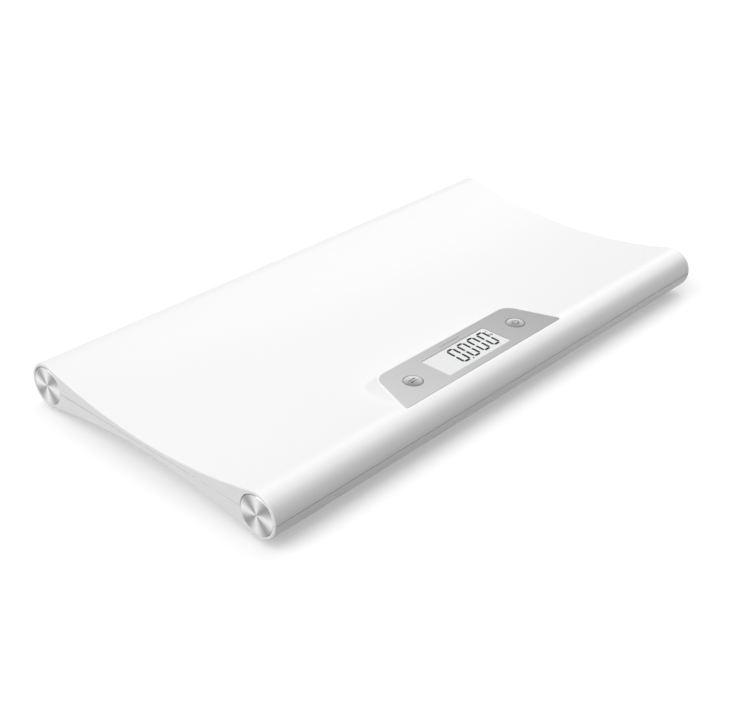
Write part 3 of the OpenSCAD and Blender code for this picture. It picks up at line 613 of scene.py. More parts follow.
def exact_normals(obj, rise, sizes, turn=1):
    """Gives the corners that lie on the moulded skin the normal of its formula, so the long curves shade
    without facets. Turn is -1 for the lower shell, whose skin is the upper one's upside down."""
    mesh = obj.data
    count = len(mesh.loops)
    normals = np.empty(3 * count)
    mesh.corner_normals.foreach_get("vector", normals)
    normals = normals.reshape(-1, 3)
    vertex = np.empty(count, dtype=np.int64)
    mesh.loops.foreach_get("vertex_index", vertex)
    places = np.empty(3 * len(mesh.vertices))
    mesh.vertices.foreach_get("co", places)
    points = places.reshape(-1, 3)[vertex]
    totals = np.empty(len(mesh.polygons), dtype=np.int64)
    mesh.polygons.foreach_get("loop_total", totals)
    faces = np.empty(3 * len(mesh.polygons))
    mesh.polygons.foreach_get("normal", faces)
    faces = np.repeat(faces.reshape(-1, 3), totals, axis=0)

    near, end_near = 0.00006, 1e-5
    lean_most, square = math.cos(math.radians(32)), 0.999
    flipped = points * [1, 1, turn] + [0, 0, PARTING * (1 - turn)]
    gap, exact = bar_skin(flipped, rise, sizes)
    exact[:, 2] *= turn
    if turn == 1:
        pod_gap, pod_normal, above = pod_skin(points, sizes)
        use = above & (pod_gap < near)
        gap, exact = np.where(use, pod_gap, gap), np.where(use[:, None], pod_normal, exact)
    fits = (gap < near) & ((faces * exact).sum(1) > lean_most)
    normals[fits] = exact[fits]
    ends = (np.abs(points[:, 0]) > HALF_L - end_near) & (np.abs(faces[:, 0]) > square)
    normals[ends] = faces[ends]
    mesh.normals_split_custom_set(normals.tolist())
    return obj


# ------------------------------------------------------------------ finishes

# Materials already made, by name
FINISHES = {}

# Range that nearly all of a cloudy pattern lies in
CLOUDS = (0.3, 0.7)

# Moulded finishes: colour, roughness, grains to a metre, depth of the grain, mottle, unevenness of the gloss
MOULDED = {
    "white_plastic": ((0.78, 0.77, 0.72), 0.42, 900, 0.00001, 0.02, 0.05),
    "elastomer": ((0.75, 0.38, 0.45), 0.6, 500, 0.00002, 0.06, 0.05),
    "black_resin": ((0.018, 0.018, 0.02), 0.34, 700, 0.00002, 0.2, 0.05),
    "silicone_white": ((0.72, 0.72, 0.7), 0.5, 400, 0.00006, 0.03, 0.05),
    "cable_grey": ((0.28, 0.28, 0.29), 0.5, 1200, 0.00002, 0.05, 0.05),
    "wire_red": ((0.5, 0.03, 0.03), 0.4, 1400, 0.00001, 0.05, 0.05),
    "foot_plastic": ((0.66, 0.66, 0.66), 0.4, 700, 0.00003, 0.02, 0.05),
    "pad_rubber": ((0.045, 0.045, 0.047), 0.75, 1500, 0.00006, 0.15, 0.08),
}

# Brushed finishes: colour, roughness, scratches to a metre and how much the pattern is stretched on each axis
BRUSHED = {
    "switch_steel": ((0.6, 0.6, 0.61), 0.32, 2400, (0.06, 1, 1)),
    "contact_nickel": ((0.72, 0.7, 0.66), 0.25, 2400, (0.06, 1, 1)),
    "cell_aluminium": ((0.8, 0.8, 0.81), 0.35, 2400, (0.06, 1, 1)),
    "zinc_steel": ((0.66, 0.66, 0.68), 0.3, 1500, (1, 1, 0.1)),
}


class Tree:
    """Node tree of one finish: its Principled shader, its Object coordinates and short ways to add nodes.
    Each way that changes the finish returns the tree."""

    def __init__(self, name, colour, roughness, metallic=0.0):
        self.material = bpy.data.materials.new(name)
        self.material.use_nodes = True
        self.nodes = self.material.node_tree.nodes
        self.nodes.clear()
        output = self.nodes.new("ShaderNodeOutputMaterial")
        self.shader = self.nodes.new("ShaderNodeBsdfPrincipled")
        self.link(self.shader.outputs[0], output.inputs[0])
        self.shader.inputs["Base Color"].default_value = (*colour, 1)
        self.shader.inputs["Roughness"].default_value = roughness
        self.shader.inputs["Metallic"].default_value = metallic
        self.place = self.nodes.new("ShaderNodeTexCoord").outputs["Object"]
        self.colour = (*colour, 1)
        self.roughness = roughness
        self.bump_normal = None

    def link(self, source, socket):
        self.material.node_tree.links.new(source, socket)

    def add(self, kind, inputs, **settings):
        """Adds a node, sets its settings, and sets or links its inputs, named or numbered."""
        node = self.nodes.new(kind)
        for key, value in settings.items():
            setattr(node, key, value)
        for key, value in inputs.items():
            if isinstance(value, bpy.types.NodeSocket):
                self.link(value, node.inputs[key])
            else:
                node.inputs[key].default_value = value
        return node

    def math(self, operation, a, b=0.0, c=0.0):
        """A sum, product or other reckoning on numbers or sockets."""
        return self.add("ShaderNodeMath", {0: a, 1: b, 2: c}, operation=operation).outputs[0]

    def noise(self, scale, detail=3.0, place=None):
        """Cloudy pattern with so many clouds to a metre."""
        inputs = {"Vector": place or self.place, "Scale": scale, "Detail": detail}
        return self.add("ShaderNodeTexNoise", inputs).outputs["Fac"]

    def stretched(self, scale, centre=(0, 0, 0)):
        """Object coordinates moved to a centre and stretched by three factors."""
        return self.add("ShaderNodeMapping", {
            "Vector": self.place, "Scale": scale,
            "Location": tuple(-c * s for c, s in zip(centre, scale))}).outputs[0]

    def axes(self, place=None):
        """The three coordinates of a place, the object's own unless another is given."""
        parts = self.add("ShaderNodeSeparateXYZ", {0: place or self.place}).outputs
        return parts[0], parts[1], parts[2]

    def spread(self, value, low, high, to_low, to_high, clamp=True):
        """Carries a value from one range over to another, and stops it at the ends where clamped."""
        inputs = {0: value, 1: low, 2: high, 3: to_low, 4: to_high}
        return self.add("ShaderNodeMapRange", inputs, clamp=clamp).outputs[0]

    def tint(self, share, colour):
        """Mixes another colour into the base colour by a share."""
        inputs = {0: share, 6: self.colour, 7: (*colour, 1)}
        self.colour = self.add("ShaderNodeMix", inputs, data_type="RGBA").outputs[2]
        self.link(self.colour, self.shader.inputs["Base Color"])
        return self

    def mottled(self, scale, amount):
        """Lightens and darkens the base colour in clouds, by a share of it."""
        shade = self.spread(self.noise(scale), *CLOUDS, 1 - amount, 1 + amount, clamp=False)
        base = self.colour if isinstance(self.colour, bpy.types.NodeSocket) else self.colour[:3]
        inputs = {0: base, "Scale": shade}
        self.colour = self.add("ShaderNodeVectorMath", inputs, operation="SCALE").outputs[0]
        self.link(self.colour, self.shader.inputs["Base Color"])
        return self

    def worn(self, scale, amount, place=None):
        """Raises and lowers the roughness in clouds, by an amount."""
        least, most = self.roughness - amount, self.roughness + amount
        rough = self.spread(self.noise(scale, 4.0, place), *CLOUDS, least, most, clamp=False)
        self.link(rough, self.shader.inputs["Roughness"])
        return self

    def bumped(self, height, distance):
        """Adds a height pattern to the surface, distance being the height in metres of its full range."""
        inputs = {"Height": height, "Distance": distance, "Strength": 1.0}
        if self.bump_normal:
            inputs["Normal"] = self.bump_normal
        self.bump_normal = self.add("ShaderNodeBump", inputs).outputs[0]
        self.link(self.bump_normal, self.shader.inputs["Normal"])
        return self

    def grained(self, scale, distance, place=None):
        """Adds a cloudy height pattern to the surface, so many grains to a metre and so deep in metres."""
        return self.bumped(self.noise(scale, 4.0, place), distance)

    def set(self, **values):
        """Sets sockets of the shader, named in small letters with underscores."""
        for key, value in values.items():
            socket = key.replace("_", " ").title().replace("Ior", "IOR")
            self.shader.inputs[socket].default_value = value
        return self


def shell_white(colours):
    """Glossy white moulding with a faint unevenness in its tone and a very fine grain."""
    return Tree("shell_white", colours.shell, roughness=0.28).mottled(9, 0.002).grained(900, 0.000002)


def spun_metal(colours):
    """Aluminium turned in fine rings round the disc's middle. Its colour has painted highlights and painted
    shade in turn round the middle, standing in for the light that the rings throw out: cos 4a, a being the
    angle round the middle."""
    painted_sectors, toned_rings, dull_rings, cut_rings = 4.0, 1500, 2600, 5200
    painted_sector_shade, dark_ring = (0.3, 0.3, 0.305), (0.55, 0.55, 0.56)
    smooth, dull, most_dark = 0.26, 0.34, 0.25
    tree = Tree("spun_metal", colours.spun, roughness=0.3, metallic=1.0)
    x, y, z = tree.axes()
    off = tree.math("SUBTRACT", tree.math("ABSOLUTE", y), TUBE_Y)
    up = tree.math("SUBTRACT", z, PARTING)
    squares = tree.math("ADD", tree.math("MULTIPLY", off, off), tree.math("MULTIPLY", up, up))
    radius = tree.math("SQRT", squares)
    ring = tree.add("ShaderNodeCombineXYZ", {0: radius, 1: 0.0, 2: 0.0}).outputs[0]
    turn = tree.math("ARCTAN2", up, off)
    # Painted highlights and painted shade: four lighter and four darker sectors round the middle
    painted_sector_light = tree.math("COSINE", tree.math("MULTIPLY", turn, painted_sectors))
    tree.tint(tree.spread(painted_sector_light, -1.0, 1.0, 1.0, 0.0), painted_sector_shade)
    shade = tree.spread(tree.noise(toned_rings, 3.0, ring), *CLOUDS, 0.0, most_dark)
    tree.tint(shade, dark_ring)
    rough = tree.spread(tree.noise(dull_rings, 2.0, ring), *CLOUDS, smooth, dull)
    tree.link(rough, tree.shader.inputs["Roughness"])
    around = tree.add("ShaderNodeTangent", {}, direction_type="RADIAL", axis="X").outputs[0]
    tree.link(around, tree.shader.inputs["Tangent"])
    tree.set(anisotropic=0.8, anisotropic_rotation=0.25)
    return tree.bumped(tree.noise(cut_rings, 2.0, ring), 0.000004)


def inlay_silver(colours):
    """Satin silver film with painted shade that darkens it towards the right, with a fine metallic speckle
    and a grain along its length."""
    painted_shade_tone, bright = (0.36, 0.36, 0.365), (0.8, 0.8, 0.81)
    tree = Tree("inlay_silver", colours.inlay, roughness=0.42, metallic=0.25)
    x, y, z = tree.axes()
    # Painted shade: the colour darkens from the inlay's left end to its right end
    tree.tint(tree.spread(x, inlay_low.x, inlay_high.x, 0.0, 1.0), painted_shade_tone).mottled(12, 0.01).worn(90, 0.04)
    tree.tint(tree.spread(tree.noise(5200, 2.0), 0.45, 0.7, 0.0, 0.1), bright)
    return tree.grained(1500, 0.000006, tree.stretched((0.12, 1, 1)))


def key_pearl(colours):
    """Pearl lacquer of the domed keys, with painted shade that darkens each key towards its front left: by
    the sum of x and y from the key's own middle."""
    reach, painted_shade_tone = 0.0085, (0.2, 0.2, 0.205)
    tree = Tree("key_pearl", colours.pearl, roughness=0.26)
    x, y, z = tree.axes()
    off = tree.math("SUBTRACT", x, POD_X)
    off = tree.math("SUBTRACT", off, tree.math("MULTIPLY", tree.math("SIGN", off), POWER_X - POD_X))
    along = tree.math("ADD", off, tree.math("SUBTRACT", y, KEY_Y))
    # Painted shade, darker towards the front left of each key
    tree.tint(tree.spread(along, -reach, reach, 1.0, 0.0), painted_shade_tone)
    return tree.mottled(45, 0.01).worn(500, 0.03).grained(2600, 0.000004)


def clear_lens(_colours):
    """Clear coated acrylic: nearly all alpha, with a faint haze, so that the display shows through."""
    haze_least, haze_most = 0.04, 0.05
    tree = Tree("clear_lens", (0.2, 0.2, 0.2), roughness=0.06).set(ior=1.49, specular_ior_level=0.3)
    haze = tree.spread(tree.noise(300, 3.0), 0.4, 0.8, haze_least, haze_most)
    tree.link(haze, tree.shader.inputs["Alpha"])
    return tree.worn(140, 0.02)


def display_grey(colours):
    """Unlit display glass with the faint grid of its electrodes."""
    fine, greenish = 1400, (0.6, 0.63, 0.6)
    tree = Tree("display_grey", colours.screen, roughness=0.16).mottled(30, 0.006)
    x, y, z = tree.axes(tree.stretched((fine, fine, fine)))
    line = tree.math("MAXIMUM", tree.math("SINE", x), tree.math("SINE", y))
    return tree.tint(tree.spread(line, 0.97, 1.0, 0.0, 0.03), greenish).worn(200, 0.03)


def board_green(_colours):
    """Green solder mask with copper tracks shining through and tinned pads."""
    track, tin = (0.07, 0.25, 0.09), (0.72, 0.72, 0.7)
    tree = Tree("board_green", (0.02, 0.12, 0.05), roughness=0.3).mottled(60, 0.12)
    cells = tree.add("ShaderNodeTexBrick", {
        "Vector": tree.stretched((1, 1, 1)), "Scale": 160.0, "Mortar Size": 0.06, "Brick Width": 1.7,
        "Row Height": 0.5, "Color1": (0, 0, 0, 1), "Color2": (0, 0, 0, 1), "Mortar": (1, 1, 1, 1)})
    tree.tint(tree.math("MULTIPLY", cells.outputs["Fac"], 0.7), track)
    pads = tree.add("ShaderNodeTexVoronoi", {"Vector": tree.place, "Scale": 320.0, "Randomness": 0.35})
    tree.tint(tree.spread(pads.outputs["Distance"], 0.13, 0.17, 0.85, 0.0), tin)
    return tree.bumped(cells.outputs["Fac"], 0.00003).worn(240, 0.06)


def battery_wrap(side, plus):
    """Printed wrap of a battery: dark, with a copper band and a white line towards its nub. Plus is 1 where
    the nub points to the right and -1 where it points to the left."""
    band, line, half_line, fade = 0.0085, 0.0095, 0.0003, 0.0001
    copper, white = (0.55, 0.36, 0.12), (0.8, 0.8, 0.8)
    tree = Tree("battery_wrap_" + side, (0.035, 0.04, 0.05), roughness=0.28)
    x, y, z = tree.axes(tree.stretched((plus, 1, 1), (POD_X, 0, 0)))
    tree.tint(tree.spread(x, band, band + 2 * fade, 0.0, 1.0), copper)
    off = tree.math("ABSOLUTE", tree.math("SUBTRACT", x, line))
    tree.tint(tree.spread(off, half_line, half_line + fade, 1.0, 0.0), white)
    return tree.worn(160, 0.06).grained(900, 0.000006)


def brushed(name, colour, rough, scratches, along):
    """Metal with fine scratches along one axis."""
    tree = Tree(name, colour, rough, metallic=1.0).mottled(70, 0.05)
    lines = tree.stretched(along)
    return tree.worn(scratches, 0.08, lines).grained(scratches, 0.000006, lines)


def moulded(name, colour, rough, grain, depth, vary, gloss):
    """Moulded plastic, rubber, resin or ink: slow mottle, uneven gloss and a fine grain."""
    return Tree(name, colour, rough).mottled(45, vary).worn(grain / 5, gloss).grained(grain, depth)


def floor_finish(name, colour, glow):
    """Matt paper floor that also glows evenly, as paper lit from below does."""
    tree = Tree(name, colour, roughness=0.9).mottled(3, 0.002).set(specular_ior_level=0.1)
    return tree.set(emission_color=(1, 1, 1, 1), emission_strength=glow).material


def soft_light(name, strength, spread, towards):
    """Far soft light that fills an angle round a direction."""
    light = bpy.data.lights.new(name, "SUN")
    light.energy = strength
    light.angle = spread
    lamp = bpy.data.objects.new(name, light)
    lamp.rotation_euler = Vector(towards).to_track_quat("Z", "Y").to_euler()
    bpy.context.scene.collection.objects.link(lamp)
    return lamp


def make_finish(name, colours):
    """The material of a slot, made when it is first asked for."""
    makers = {
        "shell_white": shell_white, "spun_metal": spun_metal, "inlay_silver": inlay_silver,
        "key_pearl": key_pearl, "clear_lens": clear_lens, "display_grey": display_grey,
        "board_green": board_green,
        "battery_wrap_right": lambda c: battery_wrap("right", 1),
        "battery_wrap_left": lambda c: battery_wrap("left", -1),
        "print_grey": lambda c: moulded(name, c.print_grey, 0.45, 1800, 0.000004, 0.05, 0.05),
        "print_ink": lambda c: moulded(name, c.ink, 0.5, 1800, 0.000002, 0.05, 0.05).set(
            specular_ior_level=0.12),
    }
    if name not in FINISHES:
        if name in MOULDED:
            tree = moulded(name, *MOULDED[name])
        elif name in BRUSHED:
            tree = brushed(name, *BRUSHED[name])
        else:
            tree = makers[name](colours)
        FINISHES[name] = tree.material
    return FINISHES[name]


# ------------------------------------------------------------------ printed marks

def print_patch(name, grids, height, thick=0.00003):
    """Thin closed print over a surface. Each grid is an array of rows, columns, x and y, and the print
    stands from a little under the surface's height to its own thickness over it."""
    sunk = -0.3 * thick
    points, faces, start = [], [], 0
    for grid in grids:
        rows, columns = grid.shape[:2]
        z = height(grid[..., 0], grid[..., 1])
        size = rows * columns
        for lift in (sunk, thick):
            points.append(np.concatenate([grid, (z + lift)[..., None]], -1).reshape(-1, 3))
        cells = grid_quads(rows, columns)
        faces += [*(cells + start + size), *(cells[:, ::-1] + start)]
        index = np.arange(size).reshape(rows, columns)
        edge = np.concatenate([index[0, :-1], index[:-1, -1], index[-1, :0:-1], index[:0:-1, 0]])
        following = np.roll(edge, -1)
        walls = np.column_stack([edge, following, following + size, edge + size]) + start
        faces += [*walls]
        start += 2 * size
    return solid_piece(name, np.vstack(points), faces)


def bar_patch(x0, y0, x1, y1, width, point=0.0):
    """Straight bar from one place to another: its rows run along it, and point shortens both edges so that
    its ends are pointed."""
    steps = 6
    along = np.array([x1 - x0, y1 - y0])
    length = np.hypot(*along)
    along = along / length
    across = np.array([-along[1], along[0]])
    u = np.linspace(0, 1, steps + 1)[:, None, None] * length
    v = ACROSS[None, :, None] * width
    if point:
        half = np.abs(v) / (width / 2)
        u = half * point + u * (1 - 2 * half * point / length)
    return np.array([x0, y0]) + u * along + v * across


def ring_patch(x, y, radius, width, start, end, steps=48):
    """Part of a ring between two angles: x + r cos a, y + r sin a."""
    a = np.linspace(start, end, steps)[:, None]
    r = radius + ACROSS[None, :] * width
    return np.stack([x + r * np.cos(a), y + r * np.sin(a)], -1)


def arrow_head(x, y, size, direction):
    """Triangle along X: its width falls from a base to a nearly sharp tip."""
    base, taper = 1.2, 0.98
    u = np.linspace(0, 1, 6)[:, None]
    v = ACROSS[None, :]
    return np.stack([x + direction * size * u + 0 * v, y + size * base * v * (1 - taper * u)], -1)


def key_dome(sizes, x0):
    """Height of a key's crown: a sphere through its middle and its edge."""
    crown = sizes.key_crown
    r = (sizes.key_radius ** 2 + crown ** 2) / (2 * crown)
    return lambda x, y: POD_TOP + crown - r + np.sqrt(r * r - (x - x0) ** 2 - (y - KEY_Y) ** 2)


def key_cap(name, x, sizes):
    """Key turned about its own axis: a crown that is part of a sphere, a rounded shoulder, a straight side,
    and the flange under the roof."""
    dome = key_dome(sizes, 0)
    edge = sizes.key_radius - sizes.key_shoulder
    r = np.linspace(0, edge, 14)
    crown = np.column_stack([r, dome(r, KEY_Y)])
    a = np.linspace(math.pi / 2, 0, 9)[1:]
    top = crown[-1, 1]
    shoulder = np.column_stack([edge + sizes.key_shoulder * np.cos(a),
                                top - sizes.key_shoulder * (1 - np.sin(a))])
    wide = (key_high.x - key_low.x) / 2
    seat = key_low.z
    thick, soft = 0.0011, 0.00015
    rest = np.array([[sizes.key_radius, seat + thick], [wide - soft, seat + thick],
                     [wide, seat + thick - soft], [wide, seat + soft], [wide - soft, seat], [0, seat]])
    return turned(name, np.vstack([crown, shoulder, rest]), (x, KEY_Y, 0))


def digit_bars(x, y, sizes, shown):
    """Bars of a seven-segment digit whose top left corner is at x and y. Shown lists the bars: top, upper
    right, lower right, bottom, lower left, upper left, middle. A point leans left by its depth times the
    slant."""
    w, h, stroke = sizes.digit_width, sizes.digit_height, sizes.digit_stroke
    s, gap = stroke / 2, 0.00035
    left, right, top, middle, bottom = s, w - s, -s, -h / 2, -(h - s)
    ends = [(left + gap, top, right - gap, top), (right, top - gap, right, middle + gap),
            (right, middle - gap, right, bottom + gap), (left + gap, bottom, right - gap, bottom),
            (left, middle - gap, left, bottom + gap), (left, top - gap, left, middle + gap),
            (left + gap, middle, right - gap, middle)]
    lean = math.tan(sizes.digit_lean)
    patches = []
    for i in shown:
        patch = bar_patch(*ends[i], stroke, s)
        patch[..., 0] += patch[..., 1] * lean
        patches.append(patch + np.array([x, y]))
    return patches


# ------------------------------------------------------------------ operators

class SCALE_OT_upper_shell(bpy.types.Operator):
    """Moulds the upper shell: tubes, tray and display pod, with its ribs and bosses"""
    bl_idname = "scale.upper_shell"
    bl_label = "Upper shell"

    def execute(self, context):
        sizes = context.scene.scale_sizes
        steps = context.scene.scale_studio.steps
        wall, rise, gap = sizes.wall, sizes.tray_rise, sizes.trim_gap

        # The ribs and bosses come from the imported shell: what of it lies in the room inside the walls
        margin, rib_drop = 0.0002, 0.003
        inside = cad_copy("upper_shell")
        room = plain_bar("room", rise, HALF_L - END_WALL + margin, wall - margin, rib_drop)
        carve(room, [(pod_hollow(sizes, margin), "UNION")])
        carve(inside, [(room, "INTERSECT")])

        shell = rounded_bar("upper_shell_skin", rise, sizes.end_round, steps)
        under = PARTING - 0.001
        top = POD_TOP + FAR
        window = block("window", (glass_low.x - 2 * gap, glass_low.y - 2 * gap, glass_low.z),
                       (glass_high.x + 2 * gap, glass_high.y + 2 * gap, top))
        lens = block("lens_seat", (lens_low.x - gap, lens_low.y - gap, lens_low.z),
                     (lens_high.x + gap, lens_high.y + gap, top))
        recess = prism("recess", inlay_outline(sizes, gap, INLAY_FRONT - gap), INLAY_FLOOR, top)
        hole_r, hole_foot = sizes.key_radius + sizes.key_gap, INLAY_FLOOR - 0.004
        hole = [[0, hole_foot], [hole_r, hole_foot], [hole_r, top], [0, top]]
        holes = [turned("key_hole", hole, (x, KEY_Y, 0)) for x in (UNIT_X, POWER_X)]
        groove = plan_ring("groove", under, PARTING + sizes.groove / 2, -FAR / 2, sizes.groove)
        lip_out, lip_in, lip_top = wall / 2 - gap, wall + gap, PARTING + 0.00165
        lip_slot = plan_ring("lip_slot", under, lip_top, lip_out, lip_in)
        carve(shell, [
            (pod_body(sizes), "UNION"),
            (plain_bar("hollow", rise, HALF_L - END_WALL, wall, PARTING - under), "DIFFERENCE"),
            (pod_hollow(sizes, 0), "DIFFERENCE"),
            (groove, "DIFFERENCE"), (lip_slot, "DIFFERENCE"),
            *[(seat, "DIFFERENCE") for seat in end_seats(sizes)],
            (recess, "DIFFERENCE"), (lens, "DIFFERENCE"), (window, "DIFFERENCE"),
            *[(hole, "DIFFERENCE") for hole in holes],
            (inside, "UNION"),
        ])
        smooth_by_angle(shell, 30)
        exact_normals(shell, rise, sizes)
        finish_piece(shell, PLATFORM, "shell_white", context, "upper_shell")
        return {"FINISHED"}


class SCALE_OT_lower_shell(bpy.types.Operator):
    """Gives the lower shell its rounded ends and its smooth underside"""
    bl_idname = "scale.lower_shell"
    bl_label = "Lower shell"

    def execute(self, context):
        sizes = context.scene.scale_sizes
        steps = context.scene.scale_studio.steps
        shell = cad_copy("lower_shell")
        shell.name = "lower_shell_skin"
        limit = end_limit("end_limit", sizes.under_drop, sizes.end_round, steps)
        carve(shell, [(limit, "INTERSECT")])
        smooth_by_angle(shell, 30)
        exact_normals(shell, sizes.under_drop, sizes, turn=-1)
        finish_piece(shell, PLATFORM, "shell_white", context, "lower_shell")
        return {"FINISHED"}


class SCALE_OT_keys(bpy.types.Operator):
    """Turns the two pearl keys and prints their symbols"""
    bl_idname = "scale.keys"
    bl_label = "Keys"

    def execute(self, context):
        sizes = context.scene.scale_sizes
        for name, x, body in (("unit_key", UNIT_X, UNIT_KEY), ("power_key", POWER_X, POWER_KEY)):
            cap = smooth_by_angle(key_cap(name + "_cap", x, sizes), 40)
            finish_piece(cap, body, "key_pearl", context, name)

        # Two arrows, one above the other, that point left and right
        marks = []
        apart, tail, neck, head, line = 0.00135, 0.0036, 0.0022, 0.0021, 0.0008
        for side in (-1, 1):
            row = KEY_Y + side * apart
            marks += [bar_patch(UNIT_X - side * tail, row, UNIT_X + side * neck, row, line),
                      arrow_head(UNIT_X + side * head, row, head, side)]
        symbol = print_patch("unit_key_symbol", marks, key_dome(sizes, UNIT_X))
        finish_piece(symbol, UNIT_KEY, "key_pearl", context, finish="print_grey")

        # A ring that is open at its rear, with a bar in the opening
        radius, line, opening, low, high = 0.003, 0.0009, 0.62, 0.0004, 0.0038
        start, end = math.pi / 2 + opening, math.pi / 2 + 2 * math.pi - opening
        marks = [ring_patch(POWER_X, KEY_Y, radius, line, start, end),
                 bar_patch(POWER_X, KEY_Y + low, POWER_X, KEY_Y + high, line)]
        symbol = print_patch("power_key_symbol", marks, key_dome(sizes, POWER_X))
        finish_piece(symbol, POWER_KEY, "key_pearl", context, finish="print_grey")
        return {"FINISHED"}


class SCALE_OT_display(bpy.types.Operator):
    """Raises the display cell under its clear window, and prints the digits and a plain row of ticks"""
    bl_idname = "scale.display"
    bl_label = "Display"

    def execute(self, context):
        sizes = context.scene.scale_sizes
        face, skin, side = POD_TOP - 0.0003, 0.0001, 0.00015

        def inner(name, inset, low, high):
            """Block over the display's plan, an inset inside its edge, between two heights."""
            return block(name, (glass_low.x + inset, glass_low.y + inset, low),
                         (glass_high.x - inset, glass_high.y - inset, high))

        overlap = 0.001
        cell = cad_copy("display_glass")
        cell.name = "display_cell"
        carve(cell, [(inner("face", 2 * side, glass_high.z - overlap, face), "UNION")])
        finish_piece(cell, PLATFORM, "display_grey", context, "display_glass")
        step = 0.0004
        window = carve(block("display_window", lens_low, lens_high), [
            (inner("raised", side / 2, lens_low.z + step, POD_TOP - skin), "UNION"),
            (inner("pocket", side, lens_low.z - overlap, face + skin), "DIFFERENCE")])
        finish_piece(window, PLATFORM, "clear_lens", context, "display_lens")

        # Four zeros with a decimal point, and the small unit mark at the right, from the top left corner
        left, top = glass_low.x, glass_high.y
        first, drop, count, zero = left + 0.0265, 0.003, 4, range(6)
        patches = []
        for k in range(count):
            patches += digit_bars(first + k * sizes.digit_pitch, top - drop, sizes, zero)
        dot_x, dot_y, dot = left + 0.0357, top - 0.0263, 0.0008
        patches.append(bar_patch(dot_x - dot, dot_y, dot_x + dot, dot_y, 2 * dot))
        mark_x, half, line, bold = left + 0.0766, 0.0013, 0.0006, 0.0009
        dash, stem_top, stem_foot, bowl = top - 0.0063, top - 0.0105, top - 0.0136, top - 0.0123
        patches += [bar_patch(mark_x - half, dash, mark_x + half, dash, bold),
                    bar_patch(mark_x - half, stem_top, mark_x - half, stem_foot, line),
                    ring_patch(mark_x + 0.0008, bowl, bold, line, 0, 2 * math.pi, 24)]
        thick = 0.00002
        digits = print_patch("display_digits", patches, lambda x, y: np.full(np.shape(x), face), thick)
        finish_piece(digits, PLATFORM, "display_grey", context, finish="print_ink")

        # A plain row of ticks behind the window, every fifth one longer
        row_y, short, long, line = -0.0862, 0.0013, 0.0022, 0.00035
        ticks = [bar_patch(x, row_y, x, row_y + (long if i % 5 == 0 else short), line)
                 for i, x in enumerate(np.linspace(-0.031, -0.007, 21))]
        row = print_patch("inlay_ticks", ticks, lambda x, y: np.full(np.shape(x), POD_TOP), thick)
        finish_piece(row, PLATFORM, "inlay_silver", context, finish="print_grey")
        return {"FINISHED"}


class SCALE_OT_finishes(bpy.types.Operator):
    """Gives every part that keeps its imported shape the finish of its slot"""
    bl_idname = "scale.finishes"
    bl_label = "Finishes"

    def execute(self, context):
        colours = context.scene.scale_colours
        nub_right = ("battery_1", "battery_3")
        for name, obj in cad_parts.items():
            for slot in obj.material_slots:
                kind = slot.material.name.split(".")[0]
                if kind == "battery_wrap":
                    kind += "_right" if name in nub_right else "_left"
                slot.material = make_finish(kind, colours)
        return {"FINISHED"}


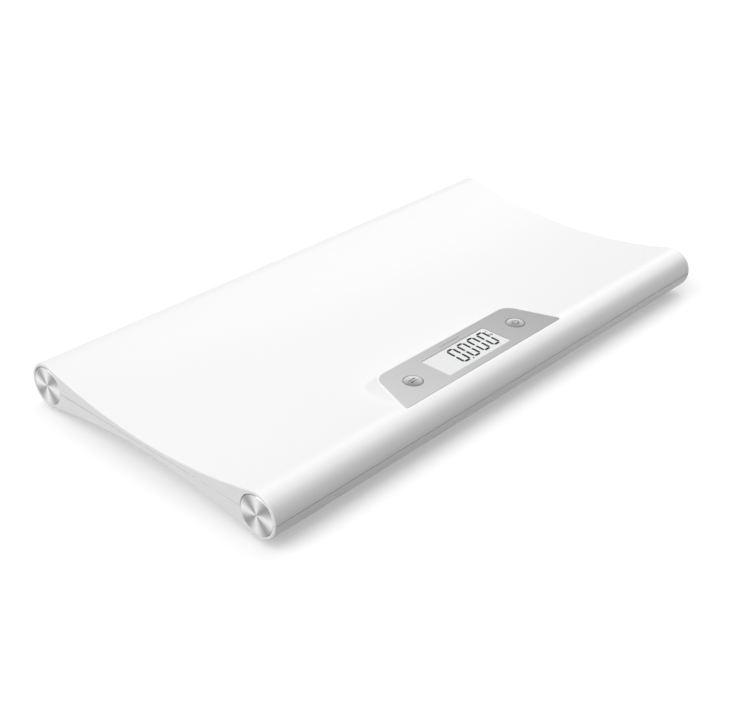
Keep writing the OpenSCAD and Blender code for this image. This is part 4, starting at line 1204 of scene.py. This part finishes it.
class SCALE_OT_studio(bpy.types.Operator):
    """Lays the floor, hangs the soft lights and sets the camera"""
    bl_idname = "scale.studio"
    bl_label = "Studio"

    def execute(self, context):
        scene = context.scene
        studio, colours = scene.scale_studio, scene.scale_colours

        # The floor that the camera and the gloss see glows, and the one just under it lights the scale
        half, thick, apart, glow = 6.0, 0.02, 0.001, 0.4
        plan = np.array([[-half, -half], [half, -half], [half, half], [-half, half]])
        floor = prism("studio_floor", plan, -thick, 0)
        floor.data.materials.append(floor_finish("studio_floor", colours.floor, glow))
        floor.visible_diffuse = floor.visible_shadow = False
        bounce = prism("studio_bounce", plan, -thick - apart, -apart)
        bounce.data.materials.append(floor_finish("studio_bounce", colours.bounce, 0.0))
        bounce.visible_camera = bounce.visible_glossy = False

        # The camera's own axes, as columns: right, up and back, turned by the roll
        a, e, roll = studio.azimuth, studio.elevation, studio.roll
        back = np.array([math.sin(a) * math.cos(e), -math.cos(a) * math.cos(e), math.sin(e)])
        right = np.array([math.cos(a), math.sin(a), 0])
        up = np.cross(back, right)
        turned_right = right * math.cos(roll) + up * math.sin(roll)
        turned_up = up * math.cos(roll) - right * math.sin(roll)
        camera = bpy.data.objects.new("camera", bpy.data.cameras.new("camera"))
        camera.data.lens = studio.lens
        camera.data.sensor_width = 36
        camera.data.clip_end = 50
        place = np.column_stack([turned_right, turned_up, back, np.array(studio.place)])
        camera.matrix_world = Matrix([*place.tolist(), [0, 0, 0, 1]])
        scene.collection.objects.link(camera)
        scene.camera = camera

        for name, (strength, angle, towards) in LIGHTS.items():
            soft_light(name, strength * studio.light, math.radians(angle), towards)
        world = bpy.data.worlds.new("studio_air")
        world.use_nodes = True
        air = world.node_tree.nodes["Background"]
        air.inputs["Color"].default_value = (1, 1, 1, 1)
        air.inputs["Strength"].default_value = 0.0
        scene.world = world
        scene.view_settings.view_transform = "Standard"
        return {"FINISHED"}


OPERATORS = (SCALE_OT_upper_shell, SCALE_OT_lower_shell, SCALE_OT_keys, SCALE_OT_display, SCALE_OT_finishes,
             SCALE_OT_studio)


class SCALE_PT_panel(bpy.types.Panel):
    """Sizes, colours and studio of the scale, and a button for each group of pieces"""
    bl_idname = "SCALE_PT_panel"
    bl_label = "Baby scale"
    bl_space_type = "VIEW_3D"
    bl_region_type = "UI"
    bl_category = "Scale"

    def draw(self, context):
        for group in (context.scene.scale_sizes, context.scene.scale_colours, context.scene.scale_studio):
            box = self.layout.box()
            for name in group.bl_rna.properties.keys():
                if name not in ("rna_type", "name"):
                    box.prop(group, name)
        for operator in OPERATORS:
            self.layout.operator(operator.bl_idname)


CLASSES = (ScaleSizes, ScaleColours, ScaleStudio, *OPERATORS, SCALE_PT_panel)


def register():
    for cls in CLASSES:
        bpy.utils.register_class(cls)
    bpy.types.Scene.scale_sizes = PointerProperty(type=ScaleSizes)
    bpy.types.Scene.scale_colours = PointerProperty(type=ScaleColours)
    bpy.types.Scene.scale_studio = PointerProperty(type=ScaleStudio)


def unregister():
    del bpy.types.Scene.scale_sizes, bpy.types.Scene.scale_colours, bpy.types.Scene.scale_studio
    for cls in reversed(CLASSES):
        bpy.utils.unregister_class(cls)


def main():
    """Registers the classes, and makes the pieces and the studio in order."""
    register()
    for operator in ("upper_shell", "lower_shell", "keys", "display", "finishes", "studio"):
        getattr(bpy.ops.scale, operator)()


if __name__ == "__main__":
    main()
